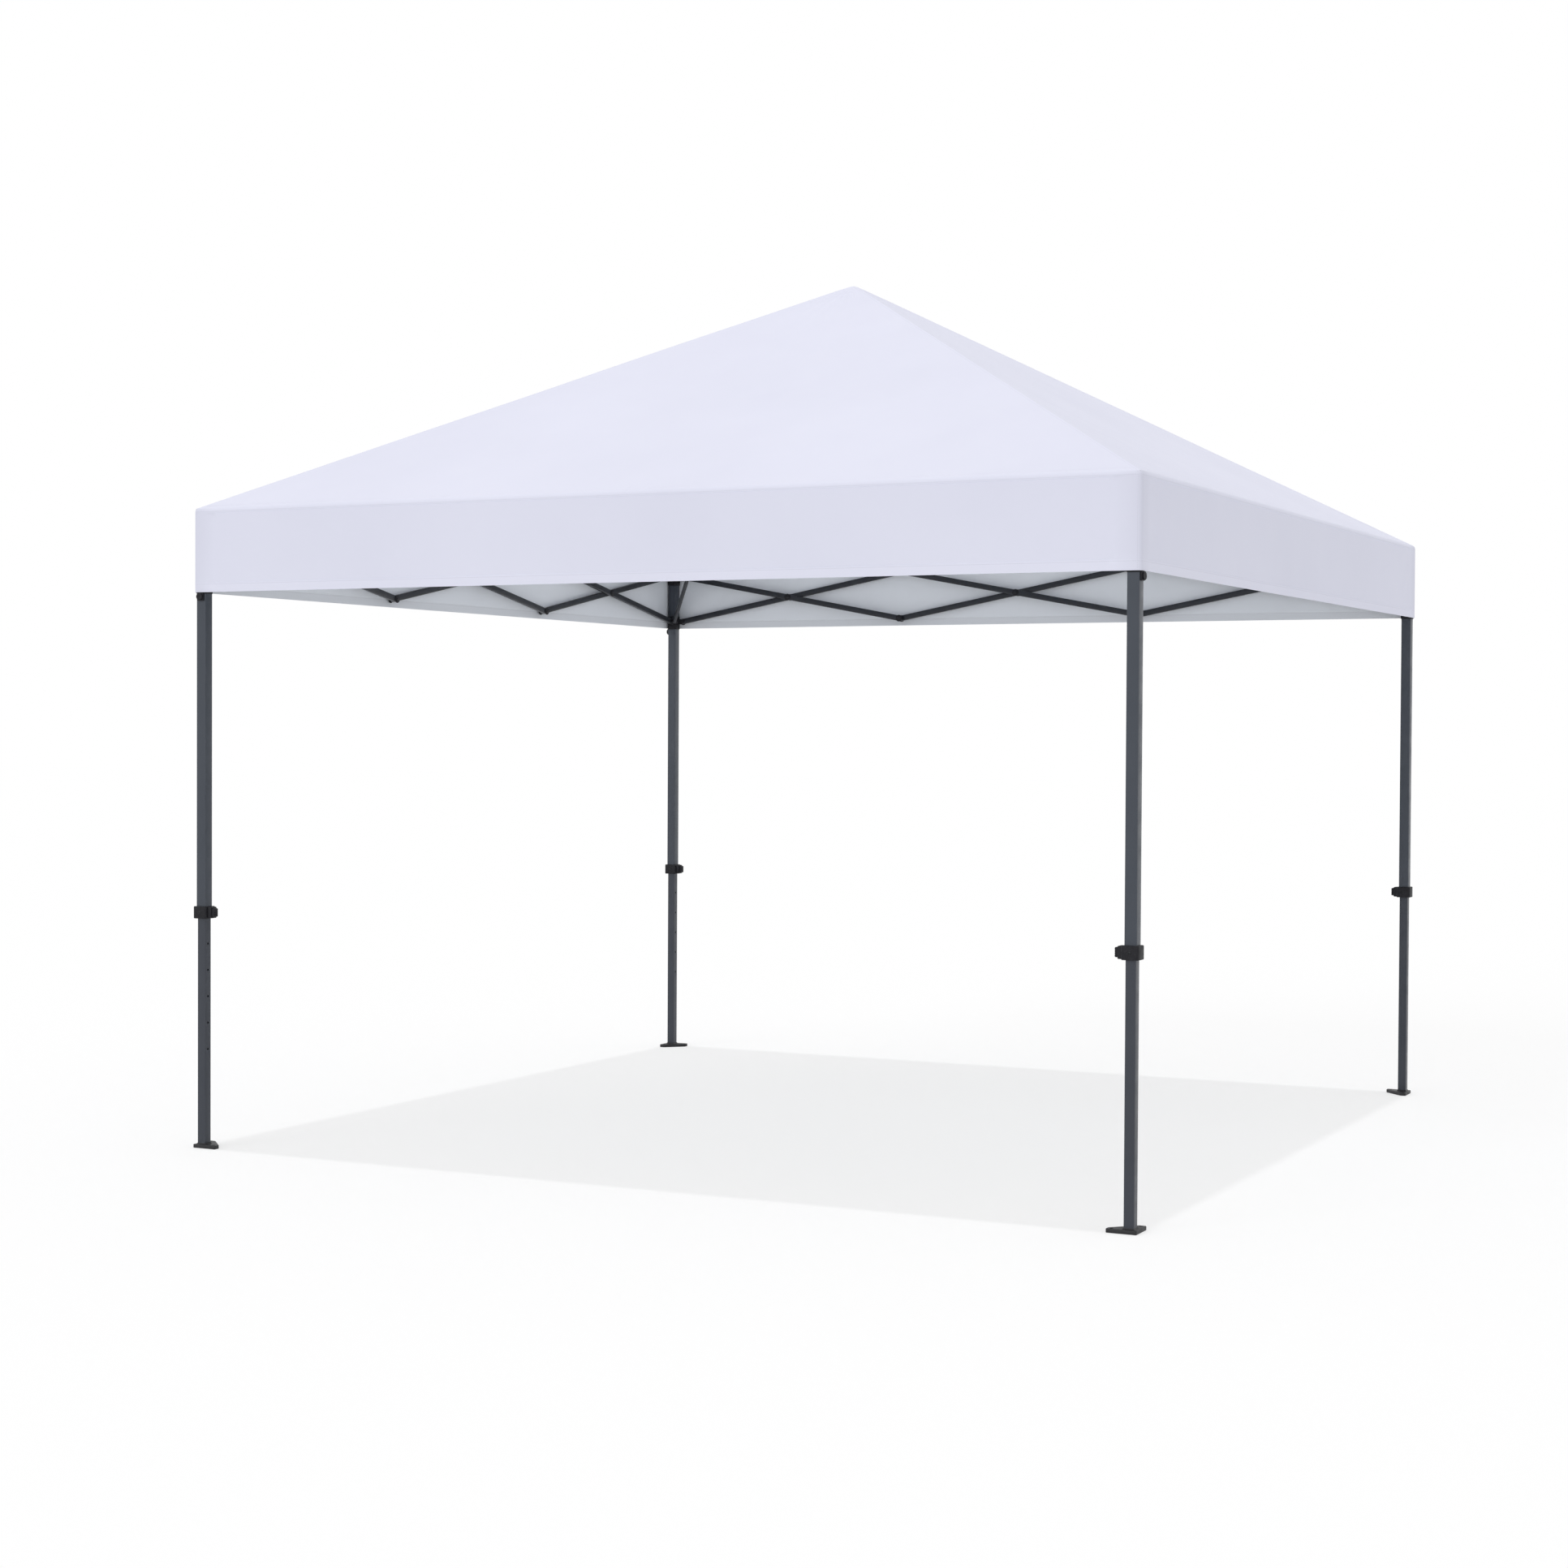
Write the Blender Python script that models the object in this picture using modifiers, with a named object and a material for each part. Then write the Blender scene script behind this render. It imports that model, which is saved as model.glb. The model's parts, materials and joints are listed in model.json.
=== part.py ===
"""Pop-up canopy: a square fabric roof on a folding frame with four telescoping legs.

The frame has a scissor truss along each side, four folding rafters that meet at a
peak hub, and sliders that run on the legs. All four corners are the same assembly,
turned by a quarter turn each time.
"""

import math

import bmesh
import bpy
from mathutils import Matrix, Vector

# Overall sizes, in metres
LEG_SPACING = 2.95            # leg axis to leg axis along one side
EAVE_HEIGHT = 1.935           # top edge of the valance above the ground
ROOF_RISE = 0.800             # eave to peak
VALANCE_DROP = 0.252          # height of the hanging valance
COVER_OVERHANG = 0.023        # fabric's outer face beyond the leg axis
FABRIC_THICKNESS = 0.002
CLOTH_CROSSING = 0.060        # half width of the square at the peak where the two cloths cross
CROSSING_LAP = 0.030          # lower cloth's doubled edge beyond that square

# Leg tubes, collar and foot
UPPER_TUBE = 0.033            # square tube, outside
UPPER_WALL = 0.0012
LOWER_TUBE = 0.028
LOWER_WALL = 0.0012
LEG_INSERTION = 0.165         # lower tube inside the upper one above the collar
BUSH_LENGTH = 0.025           # guide plug on top of the lower tube
COLLAR_HEIGHT = 0.715         # collar middle above the ground
COLLAR_SIZE = 0.048
COLLAR_LENGTH = 0.037
FOOT_SIZE = 0.083             # along each of the foot plate's two wings
FOOT_LIP = 0.010              # foot plate's outer edges beyond the lower tube
FOOT_WING_END = 0.020         # width of a wing where it is cut off
FOOT_THICKNESS = 0.011
STAKE_HOLE_RADIUS = 0.005

# Corner bracket and slider
BRACKET_SIZE = 0.041
BRACKET_LENGTH = 0.070
BRACKET_BELOW_EAVE = 0.010    # bracket top under the eave
TOP_PIVOT_DEPTH = 0.035       # scissor pivot under the bracket top
SCISSOR_RISE = 0.180          # slider pivot to top pivot when open
SLIDER_SIZE = 0.040
SLIDER_ABOVE_PIVOT = 0.022
SLIDER_BELOW_HEM = 0.004
SIDE_PIVOT_OFFSET = 0.036     # leg axis to scissor pivot
DIAGONAL_PIVOT_OFFSET = 0.052 # leg axis to rafter and strut pivots

# Flat bars of the folding frame
BAR_WIDTH = 0.021
BAR_THICKNESS = 0.012
STRUT_WIDTH = 0.016
LUG_THICKNESS = 0.006
BAYS_PER_SIDE = 3
FOLDED_PITCH = 0.075          # pivot spacing along a side when folded
RAFTER_DROP = 0.045           # rafter axis under the roof surface
HUB_PIVOT_RADIUS = 0.060
HUB_CORE_RADIUS = 0.038
HUB_ABOVE_PIVOT = 0.025
HUB_BELOW_PIVOT = 0.045
CAP_RADIUS = 0.034
CAP_BRIM = 0.006
CAP_FABRIC_GAP = 0.008

# Rivets
RIVET_RADIUS = 0.003
RIVET_HEAD_RADIUS = 0.0055
RIVET_HEAD_HEIGHT = 0.002

# Height lock button on the collar, and pull pin on the slider
LOCK_WIDTH = 0.020
LOCK_HEIGHT = 0.026
LOCK_LENGTH = 0.019
LOCK_TRAVEL = 0.004
LOCK_STANDS_OUT = 0.009
LOCK_BOSS_DEPTH = 0.012
LOCK_BOSS_WIDTH = 0.030
LOCK_BOSS_HEIGHT = 0.034
LATCH_BELOW_HEM = 0.013       # pull pin axis under the valance hem
LATCH_TAB_DEPTH = 0.005       # tab that hangs from the slider and holds the pull pin
LATCH_TAB_WIDTH = 0.024
LATCH_TAB_BELOW_PIN = 0.012
LATCH_KNOB_RADIUS = 0.011
LATCH_KNOB_LENGTH = 0.005
LATCH_PIN_RADIUS = 0.004
LATCH_TIP_GAP = 0.0009        # pin tip off the leg face

# Clearances
SEAT_GAP = 0.0003
RUNNING_GAP = 0.0004
LAYER_GAP = 0.0008            # between bars that lie side by side

# Roundness
ARC_STEPS = 4
RIVET_SIDES = 8
ROUND_SIDES = 16
SMOOTH_ANGLE = math.radians(35)

# Levels and plan sizes that follow from the driving sizes
HALF_SPACING = LEG_SPACING / 2
COVER_HALF = HALF_SPACING + COVER_OVERHANG
COVER_DIAGONAL = COVER_HALF * math.sqrt(2)
PEAK_HEIGHT = EAVE_HEIGHT + ROOF_RISE
HEM_HEIGHT = EAVE_HEIGHT - VALANCE_DROP
BRACKET_TOP = EAVE_HEIGHT - BRACKET_BELOW_EAVE
TOP_PIVOT_HEIGHT = BRACKET_TOP - TOP_PIVOT_DEPTH
SLIDER_PIVOT_HEIGHT = TOP_PIVOT_HEIGHT - SCISSOR_RISE
LATCH_HEIGHT = HEM_HEIGHT - LATCH_BELOW_HEM
COLLAR_BOTTOM = COLLAR_HEIGHT - COLLAR_LENGTH / 2
COLLAR_TOP = COLLAR_HEIGHT + COLLAR_LENGTH / 2
LOCK_BOSS_FACE = COLLAR_SIZE / 2 + LOCK_BOSS_DEPTH
LOCK_FACE = LOCK_BOSS_FACE + LOCK_STANDS_OUT
LAYER_PITCH = BAR_THICKNESS + LAYER_GAP
PANEL_ANGLE = math.atan2(ROOF_RISE, COVER_HALF)
CROSSING_DEPTH = 2 * FABRIC_THICKNESS + LAYER_GAP

# Scissor truss
BAY = (LEG_SPACING - 2 * SIDE_PIVOT_OFFSET) / BAYS_PER_SIDE
BAR_LENGTH = math.hypot(BAY, SCISSOR_RISE)
SCISSOR_ANGLE = math.atan2(SCISSOR_RISE, BAY)
FOLDED_SCISSOR_ANGLE = math.acos(FOLDED_PITCH / BAR_LENGTH)
SLIDER_TRAVEL = BAR_LENGTH * (math.sin(FOLDED_SCISSOR_ANGLE) - math.sin(SCISSOR_ANGLE))

# Rafters, on the diagonals
ROOF_ANGLE = math.atan2(ROOF_RISE, COVER_DIAGONAL)
LEG_RADIUS = HALF_SPACING * math.sqrt(2)
RAFTER_FOOT_RADIUS = LEG_RADIUS - DIAGONAL_PIVOT_OFFSET


def roof_height(radius):
    """Height of the roof's ridge at a distance from the middle, along a diagonal."""
    return PEAK_HEIGHT - ROOF_RISE * radius / COVER_DIAGONAL


def panel_height(distance, depth):
    """Height of a roof panel at a distance from the middle, at a depth under its outer face."""
    return PEAK_HEIGHT - ROOF_RISE * distance / COVER_HALF - depth / math.cos(PANEL_ANGLE)


RAFTER_FOOT_HEIGHT = roof_height(RAFTER_FOOT_RADIUS) - RAFTER_DROP
HUB_PIVOT_HEIGHT = roof_height(HUB_PIVOT_RADIUS) - RAFTER_DROP
RAFTER_LENGTH = (RAFTER_FOOT_RADIUS - HUB_PIVOT_RADIUS) / math.cos(ROOF_ANGLE) / 2
FOLDED_LEG_RADIUS = (BAYS_PER_SIDE * FOLDED_PITCH + 2 * SIDE_PIVOT_OFFSET) / math.sqrt(2)
FOLDED_REACH = FOLDED_LEG_RADIUS - DIAGONAL_PIVOT_OFFSET - HUB_PIVOT_RADIUS
FOLDED_RAFTER_ANGLE = math.acos(FOLDED_REACH / (2 * RAFTER_LENGTH))

# Strut from slider to lower rafter: the same length open and folded
OPEN_SPREAD = RAFTER_FOOT_HEIGHT - SLIDER_PIVOT_HEIGHT
FOLDED_SPREAD = OPEN_SPREAD + SLIDER_TRAVEL
STRUT_ALONG_RAFTER = (FOLDED_SPREAD ** 2 - OPEN_SPREAD ** 2) / (
    2 * (OPEN_SPREAD * math.sin(ROOF_ANGLE) + FOLDED_SPREAD * math.sin(FOLDED_RAFTER_ANGLE))
)
STRUT_REACH = STRUT_ALONG_RAFTER * math.cos(ROOF_ANGLE)
STRUT_CLIMB = OPEN_SPREAD + STRUT_ALONG_RAFTER * math.sin(ROOF_ANGLE)
STRUT_LENGTH = math.hypot(STRUT_REACH, STRUT_CLIMB)
STRUT_ANGLE = math.atan2(STRUT_CLIMB, STRUT_REACH)

# Corners in order round the canopy, each a quarter turn on from the last
CORNERS = (
    ("front_left", (-HALF_SPACING, -HALF_SPACING)),
    ("front_right", (HALF_SPACING, -HALF_SPACING)),
    ("rear_right", (HALF_SPACING, HALF_SPACING)),
    ("rear_left", (-HALF_SPACING, HALF_SPACING)),
)
SIDES = ("front", "right", "rear", "left")
QUARTER_TURN = math.pi / 2
EIGHTH_TURN = math.pi / 4
LOCK_TURNS = (-QUARTER_TURN, 0.0, -QUARTER_TURN, 0.0)  # the height locks face in along the front and rear


# Scene and materials

def clear_scene():
    for old in list(bpy.data.objects):
        bpy.data.objects.remove(old)


def new_collection(name):
    made = bpy.data.collections.new(name)
    bpy.context.scene.collection.children.link(made)
    return made


def new_material(name, colour, roughness, metallic):
    material = bpy.data.materials.new(name)
    material.use_nodes = True
    shader = material.node_tree.nodes["Principled BSDF"]
    shader.inputs["Base Color"].default_value = (*colour, 1.0)
    shader.inputs["Roughness"].default_value = roughness
    shader.inputs["Metallic"].default_value = metallic
    return material


clear_scene()
PARTS = new_collection("pop_up_canopy")
TOOLS = new_collection("tools")
FABRIC = new_material("white_fabric", (0.74, 0.75, 0.84), 0.80, 0.0)
STEEL = new_material("grey_steel", (0.075, 0.085, 0.10), 0.45, 0.5)
PLASTIC = new_material("black_plastic", (0.018, 0.018, 0.022), 0.55, 0.0)


# Shapes that the parts are joined and cut from

def shape_from(bm):
    bmesh.ops.recalc_face_normals(bm, faces=bm.faces)
    mesh = bpy.data.meshes.new("shape")
    bm.to_mesh(mesh)
    bm.free()
    shape = bpy.data.objects.new("shape", mesh)
    TOOLS.objects.link(shape)
    return shape


def box(low, high):
    bm = bmesh.new()
    bmesh.ops.create_cube(bm, size=1.0)
    size = Vector(high) - Vector(low)
    middle = (Vector(high) + Vector(low)) / 2
    bmesh.ops.transform(bm, matrix=Matrix.Translation(middle) @ Matrix.Diagonal((*size, 1.0)), verts=bm.verts)
    return shape_from(bm)


def plate(outline, bottom, top):
    """Flat plate with a straight-sided outline, lying level."""
    bm = bmesh.new()
    face = bm.faces.new([bm.verts.new((x, y, bottom)) for x, y in outline])
    raised = bmesh.ops.extrude_face_region(bm, geom=[face])["geom"]
    corners = [v for v in raised if isinstance(v, bmesh.types.BMVert)]
    bmesh.ops.translate(bm, vec=(0.0, 0.0, top - bottom), verts=corners)
    return shape_from(bm)


def square_post(width, bottom, top):
    return box((-width / 2, -width / 2, bottom), (width / 2, width / 2, top))


def rod(radius, start, end, sides):
    start = Vector(start)
    along = Vector(end) - start
    bm = bmesh.new()
    bmesh.ops.create_cone(
        bm, cap_ends=True, segments=sides, radius1=radius, radius2=radius, depth=along.length
    )
    turn = along.to_track_quat("Z", "Y").to_matrix().to_4x4()
    bmesh.ops.transform(bm, matrix=Matrix.Translation(start + along / 2) @ turn, verts=bm.verts)
    return shape_from(bm)


def circle_points(centre_x, radius, sides):
    steps = [2 * math.pi * i / sides for i in range(sides)]
    return [(centre_x + radius * math.cos(a), radius * math.sin(a)) for a in steps]


def slot_points(length, width):
    """Outline of a bar with round ends, from pivot to pivot along X."""
    radius = width / 2
    right = [math.pi * (i / ARC_STEPS - 0.5) for i in range(ARC_STEPS + 1)]
    points = [(length + radius * math.cos(a), radius * math.sin(a)) for a in right]
    points += [(-radius * math.cos(a), -radius * math.sin(a)) for a in right]
    return points


def flat_bar(length, width, thickness, hole_places=()):
    """Flat bar along X with round ends and pivot holes; its thickness lies along Y."""
    curve = bpy.data.curves.new("outline", "CURVE")
    curve.dimensions = "2D"
    curve.fill_mode = "BOTH"
    curve.extrude = thickness / 2
    hole_radius = RIVET_RADIUS + RUNNING_GAP
    outlines = [slot_points(length, width)]
    outlines += [circle_points(place, hole_radius, RIVET_SIDES) for place in hole_places]
    for outline in outlines:
        spline = curve.splines.new("POLY")
        spline.points.add(len(outline) - 1)
        for point, (x, y) in zip(spline.points, outline):
            point.co = (x, y, 0.0, 1.0)
        spline.use_cyclic_u = True
    drawn = bpy.data.objects.new("outline", curve)
    TOOLS.objects.link(drawn)
    bpy.context.view_layer.update()
    mesh = bpy.data.meshes.new_from_object(drawn.evaluated_get(bpy.context.evaluated_depsgraph_get()))
    bpy.data.objects.remove(drawn)
    bm = bmesh.new()
    bm.from_mesh(mesh)
    bmesh.ops.remove_doubles(bm, verts=bm.verts, dist=1e-5)
    bmesh.ops.transform(bm, matrix=Matrix.Rotation(QUARTER_TURN, 4, "X"), verts=bm.verts)
    return shape_from(bm)


def moved(shape, matrix):
    shape.data.transform(matrix)
    return shape


def combined(base, others, operation):
    for other in others:
        modifier = base.modifiers.new("combine", "BOOLEAN")
        modifier.operation = operation
        modifier.object = other
    bpy.context.view_layer.update()
    mesh = bpy.data.meshes.new_from_object(base.evaluated_get(bpy.context.evaluated_depsgraph_get()))
    base.modifiers.clear()
    base.data = mesh
    for other in others:
        bpy.data.objects.remove(other)
    return base


def joined(base, others):
    return combined(base, others, "UNION")


def cut(base, others):
    return combined(base, others, "DIFFERENCE")


def rivet(x, height, start, bar_face, side):
    """Rivet along Y from inside its own piece through the bar beside it; side is +1 or -1."""
    head_at = bar_face + side * SEAT_GAP
    head_middle = head_at + side * RIVET_HEAD_HEIGHT / 2
    head_end = head_at + side * RIVET_HEAD_HEIGHT
    shank = rod(RIVET_RADIUS, (x, start, height), (x, head_middle, height), RIVET_SIDES)
    head = rod(RIVET_HEAD_RADIUS, (x, head_at, height), (x, head_end, height), RIVET_SIDES)
    return joined(shank, [head])


def lug(root, offset, height, bar_layer, side, width, turn):
    """Lug from its root in a block out to a pivot, with its rivet through the bar beside it.

    bar_layer is the bar's middle along Y, and side says on which side of the bar the lug lies.
    """
    bar_near = bar_layer + side * BAR_THICKNESS / 2
    plate_middle = bar_near + side * (LAYER_GAP + LUG_THICKNESS / 2)
    plate = flat_bar(offset - root, width, LUG_THICKNESS)
    moved(plate, Matrix.Translation((root, plate_middle, height)))
    pin = rivet(offset, height, plate_middle, bar_layer - side * BAR_THICKNESS / 2, -side)
    return moved(joined(plate, [pin]), Matrix.Rotation(turn, 4, "Z"))


def bar_with_rivets(length, hole_places, rivet_places):
    """Bar whose own rivets pass through the bars beside it, on its +Y side."""
    neighbour_far_face = LAYER_PITCH + BAR_THICKNESS / 2
    bar = flat_bar(length, BAR_WIDTH, BAR_THICKNESS, hole_places)
    return joined(bar, [rivet(place, 0.0, 0.0, neighbour_far_face, 1) for place in rivet_places])


def finished(shape):
    mesh = shape.data
    bpy.data.objects.remove(shape)
    mesh.shade_smooth()
    mesh.set_sharp_from_angle(angle=SMOOTH_ANGLE)
    return mesh


def add_part(name, mesh, material, parent=None, place=(0.0, 0.0, 0.0), turn=(0.0, 0.0, 0.0)):
    part = bpy.data.objects.new(name, mesh)
    PARTS.objects.link(part)
    if not mesh.materials:
        mesh.materials.append(material)
    part.parent = parent
    part.location = place
    part.rotation_euler = turn
    return part


# Legs

def lock_block(width, height, near, far):
    """Upright block on the +Y side of a collar, around the height lock's axis."""
    return box(
        (-width / 2, near, COLLAR_HEIGHT - height / 2),
        (width / 2, far, COLLAR_HEIGHT + height / 2),
    )


def upper_leg_mesh(lock_turn):
    """Upper tube with its corner bracket and the collar that holds the height lock."""
    tube = square_post(UPPER_TUBE, COLLAR_BOTTOM, BRACKET_TOP)
    side_layer = -LAYER_PITCH / 2
    root = BRACKET_SIZE / 4
    facing = Matrix.Rotation(lock_turn, 4, "Z")
    additions = [
        square_post(BRACKET_SIZE, BRACKET_TOP - BRACKET_LENGTH, BRACKET_TOP),
        square_post(COLLAR_SIZE, COLLAR_BOTTOM, COLLAR_TOP),
        moved(lock_block(LOCK_BOSS_WIDTH, LOCK_BOSS_HEIGHT, COLLAR_SIZE / 4, LOCK_BOSS_FACE), facing),
        lug(root, SIDE_PIVOT_OFFSET, TOP_PIVOT_HEIGHT, side_layer, 1, BAR_WIDTH, 0.0),
        lug(root, SIDE_PIVOT_OFFSET, TOP_PIVOT_HEIGHT, side_layer, 1, BAR_WIDTH, QUARTER_TURN),
        lug(root, DIAGONAL_PIVOT_OFFSET, RAFTER_FOOT_HEIGHT, 0.0, 1, BAR_WIDTH, EIGHTH_TURN),
    ]
    leg = joined(tube, additions)
    bore_top = TOP_PIVOT_HEIGHT - BAR_WIDTH / 2 - UPPER_TUBE / 4
    pocket_floor = LOCK_FACE - LOCK_LENGTH - LOCK_TRAVEL - SEAT_GAP
    pocket = lock_block(
        LOCK_WIDTH + 2 * RUNNING_GAP,
        LOCK_HEIGHT + 2 * RUNNING_GAP,
        pocket_floor,
        LOCK_FACE + LOCK_TRAVEL,
    )
    cutters = [
        square_post(UPPER_TUBE - 2 * UPPER_WALL, COLLAR_TOP, bore_top),
        square_post(LOWER_TUBE + 2 * RUNNING_GAP, COLLAR_BOTTOM - COLLAR_LENGTH, COLLAR_TOP + COLLAR_LENGTH),
        moved(pocket, facing),
    ]
    return finished(cut(leg, cutters))


def foot_plate():
    """Foot plate with two wings that reach in along the sides, and a stake hole in each."""
    outer = -LOWER_TUBE / 2 - FOOT_LIP
    inner = outer + FOOT_SIZE
    wing = outer + FOOT_WING_END
    outline = [(outer, outer), (inner, outer), (inner, wing), (wing, inner), (outer, inner)]
    hole_along = inner - FOOT_WING_END / 2 - STAKE_HOLE_RADIUS / 2
    hole_across = outer + FOOT_WING_END / 2 + STAKE_HOLE_RADIUS / 4
    below, above = -FOOT_THICKNESS, 2 * FOOT_THICKNESS
    holes = []
    for x, y in ((hole_along, hole_across), (hole_across, hole_along)):
        holes.append(rod(STAKE_HOLE_RADIUS, (x, y, below), (x, y, above), ROUND_SIDES))
    return cut(plate(outline, 0.0, FOOT_THICKNESS), holes)


def lower_leg_mesh():
    """Lower tube with its guide plug on top and the foot plate welded under it."""
    tube_top = COLLAR_TOP + LEG_INSERTION
    bush_width = UPPER_TUBE - 2 * UPPER_WALL - 2 * RUNNING_GAP
    tube = square_post(LOWER_TUBE, FOOT_THICKNESS / 2, tube_top)
    bush = square_post(bush_width, tube_top - BUSH_LENGTH, tube_top)
    leg = joined(tube, [foot_plate(), bush])
    bore = square_post(LOWER_TUBE - 2 * LOWER_WALL, FOOT_THICKNESS, tube_top + BUSH_LENGTH)
    return finished(cut(leg, [bore]))


def height_lock_mesh():
    return finished(lock_block(LOCK_WIDTH, LOCK_HEIGHT, LOCK_FACE - LOCK_LENGTH, LOCK_FACE))


# Sliders

def slider_mesh():
    """Block that runs on the upper tube, with lugs for two bars and the strut, and the latch tab."""
    bottom = HEM_HEIGHT - SLIDER_BELOW_HEM
    bore = UPPER_TUBE + 2 * RUNNING_GAP
    block = square_post(SLIDER_SIZE, bottom, SLIDER_PIVOT_HEIGHT + SLIDER_ABOVE_PIVOT)
    side_layer = LAYER_PITCH / 2
    root = SLIDER_SIZE / 4
    additions = [
        box(
            (-LATCH_TAB_WIDTH / 2, -bore / 2 - LATCH_TAB_DEPTH, LATCH_HEIGHT - LATCH_TAB_BELOW_PIN),
            (LATCH_TAB_WIDTH / 2, 0.0, HEM_HEIGHT - LAYER_GAP),
        ),
        lug(root, SIDE_PIVOT_OFFSET, SLIDER_PIVOT_HEIGHT, side_layer, -1, BAR_WIDTH, 0.0),
        lug(root, SIDE_PIVOT_OFFSET, SLIDER_PIVOT_HEIGHT, side_layer, -1, BAR_WIDTH, QUARTER_TURN),
        lug(root, DIAGONAL_PIVOT_OFFSET, SLIDER_PIVOT_HEIGHT, -LAYER_PITCH, 1, STRUT_WIDTH, EIGHTH_TURN),
    ]
    slider = joined(block, additions)
    over = SLIDER_SIZE
    cutters = [
        square_post(bore, bottom - over, SLIDER_PIVOT_HEIGHT + over),
        rod(
            LATCH_PIN_RADIUS + RUNNING_GAP,
            (0.0, -bore / 2 - 2 * LATCH_TAB_DEPTH, LATCH_HEIGHT),
            (0.0, 0.0, LATCH_HEIGHT),
            ROUND_SIDES,
        ),
    ]
    return finished(cut(slider, cutters))


def slider_latch_mesh():
    """Pull pin: a round knob on a pin that points at the leg."""
    knob_back = -(UPPER_TUBE / 2 + RUNNING_GAP + LATCH_TAB_DEPTH + SEAT_GAP)
    knob_front = knob_back - LATCH_KNOB_LENGTH
    tip = -(UPPER_TUBE / 2 + LATCH_TIP_GAP)
    knob = rod(LATCH_KNOB_RADIUS, (0.0, knob_back, 0.0), (0.0, knob_front, 0.0), ROUND_SIDES)
    pin = rod(LATCH_PIN_RADIUS, (0.0, (knob_back + knob_front) / 2, 0.0), (0.0, tip, 0.0), ROUND_SIDES)
    return finished(joined(knob, [pin]))


# Peak

def hub_mesh():
    core = rod(
        HUB_CORE_RADIUS,
        (0.0, 0.0, HUB_PIVOT_HEIGHT - HUB_BELOW_PIVOT),
        (0.0, 0.0, HUB_PIVOT_HEIGHT + HUB_ABOVE_PIVOT),
        ROUND_SIDES,
    )
    moved(core, Matrix.Rotation(math.pi / ROUND_SIDES, 4, "Z"))
    lugs = []
    for corner in range(len(CORNERS)):
        facing = EIGHTH_TURN + corner * QUARTER_TURN
        root = HUB_CORE_RADIUS / 2
        lugs.append(lug(root, HUB_PIVOT_RADIUS, HUB_PIVOT_HEIGHT, -LAYER_PITCH, 1, BAR_WIDTH, facing))
    return finished(joined(core, lugs))


def cap_mesh():
    """Domed cap on the hub that carries the fabric's peak, turned from its profile."""
    base = HUB_PIVOT_HEIGHT + HUB_ABOVE_PIVOT + SEAT_GAP
    top = panel_height(0.0, CROSSING_DEPTH) - CAP_FABRIC_GAP
    dome_base = base + CAP_BRIM
    steps = [QUARTER_TURN * i / ARC_STEPS for i in range(ARC_STEPS + 1)]
    profile = [(CAP_RADIUS * math.sin(a), dome_base + (top - dome_base) * math.cos(a)) for a in steps]
    profile += [(CAP_RADIUS, base), (0.0, base)]
    mesh = bpy.data.meshes.new("cap_profile")
    edges = [(i, i + 1) for i in range(len(profile) - 1)]
    mesh.from_pydata([(x, 0.0, z) for x, z in profile], edges, [])
    turned = bpy.data.objects.new("cap_profile", mesh)
    TOOLS.objects.link(turned)
    screw = turned.modifiers.new("turn", "SCREW")
    screw.axis = "Z"
    screw.steps = ROUND_SIDES
    screw.render_steps = ROUND_SIDES
    screw.use_merge_vertices = True
    screw.merge_threshold = 0.00005
    return finished(combined(turned, [], "UNION"))


# Fabric

def cloth_mesh(outer_rows, outer_tip, inner_rows, inner_tip):
    """Strip of cloth from one hem over the peak to the hem across from it, along Y.

    Each skin's rows give a distance from the middle and a height, from the hem up to the
    tip. The strip is as wide as the roof panel at each row, less the seam gap at the ridges.
    """
    bm = bmesh.new()
    ends = (-1, 1)

    def skin(rows, tip):
        edges = {}
        apex = bm.verts.new((0.0, 0.0, tip))
        for end in ends:
            for side in ends:
                edges[end, side] = [bm.verts.new((side * (r - SEAT_GAP), end * r, z)) for r, z in rows]
            left, right = edges[end, -1], edges[end, 1]
            for i in range(len(rows) - 1):
                bm.faces.new((left[i], right[i], right[i + 1], left[i + 1]))
            bm.faces.new((left[-1], right[-1], apex))
        for side in ends:
            bm.faces.new((edges[-1, side][-1], edges[1, side][-1], apex))
        return edges

    outer = skin(outer_rows, outer_tip)
    inner = skin(inner_rows, inner_tip)
    for end in ends:
        bm.faces.new((outer[end, -1][0], outer[end, 1][0], inner[end, 1][0], inner[end, -1][0]))
        for side in ends:
            out, back = outer[end, side], inner[end, side]
            for i in range(len(out) - 1):
                bm.faces.new((out[i], out[i + 1], back[i + 1], back[i]))
    for side in ends:
        bm.faces.new((outer[-1, side][-1], outer[1, side][-1], inner[1, side][-1], inner[-1, side][-1]))
    return finished(shape_from(bm))


def panel_rows(outset, depth):
    """Rows of a skin at the hem and the eave, on one face of the cloth."""
    return [(outset, HEM_HEIGHT), (outset, panel_height(outset, depth))]


def upper_cloth_mesh():
    """Front and rear roof panels with their valances, joined where they pass over the peak."""
    outer = panel_rows(COVER_HALF, 0.0)
    inner = panel_rows(COVER_HALF - FABRIC_THICKNESS, FABRIC_THICKNESS)
    outer.append((CLOTH_CROSSING, panel_height(CLOTH_CROSSING, 0.0)))
    inner.append((CLOTH_CROSSING, panel_height(CLOTH_CROSSING, FABRIC_THICKNESS)))
    return cloth_mesh(outer, PEAK_HEIGHT, inner, panel_height(0.0, FABRIC_THICKNESS))


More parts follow.
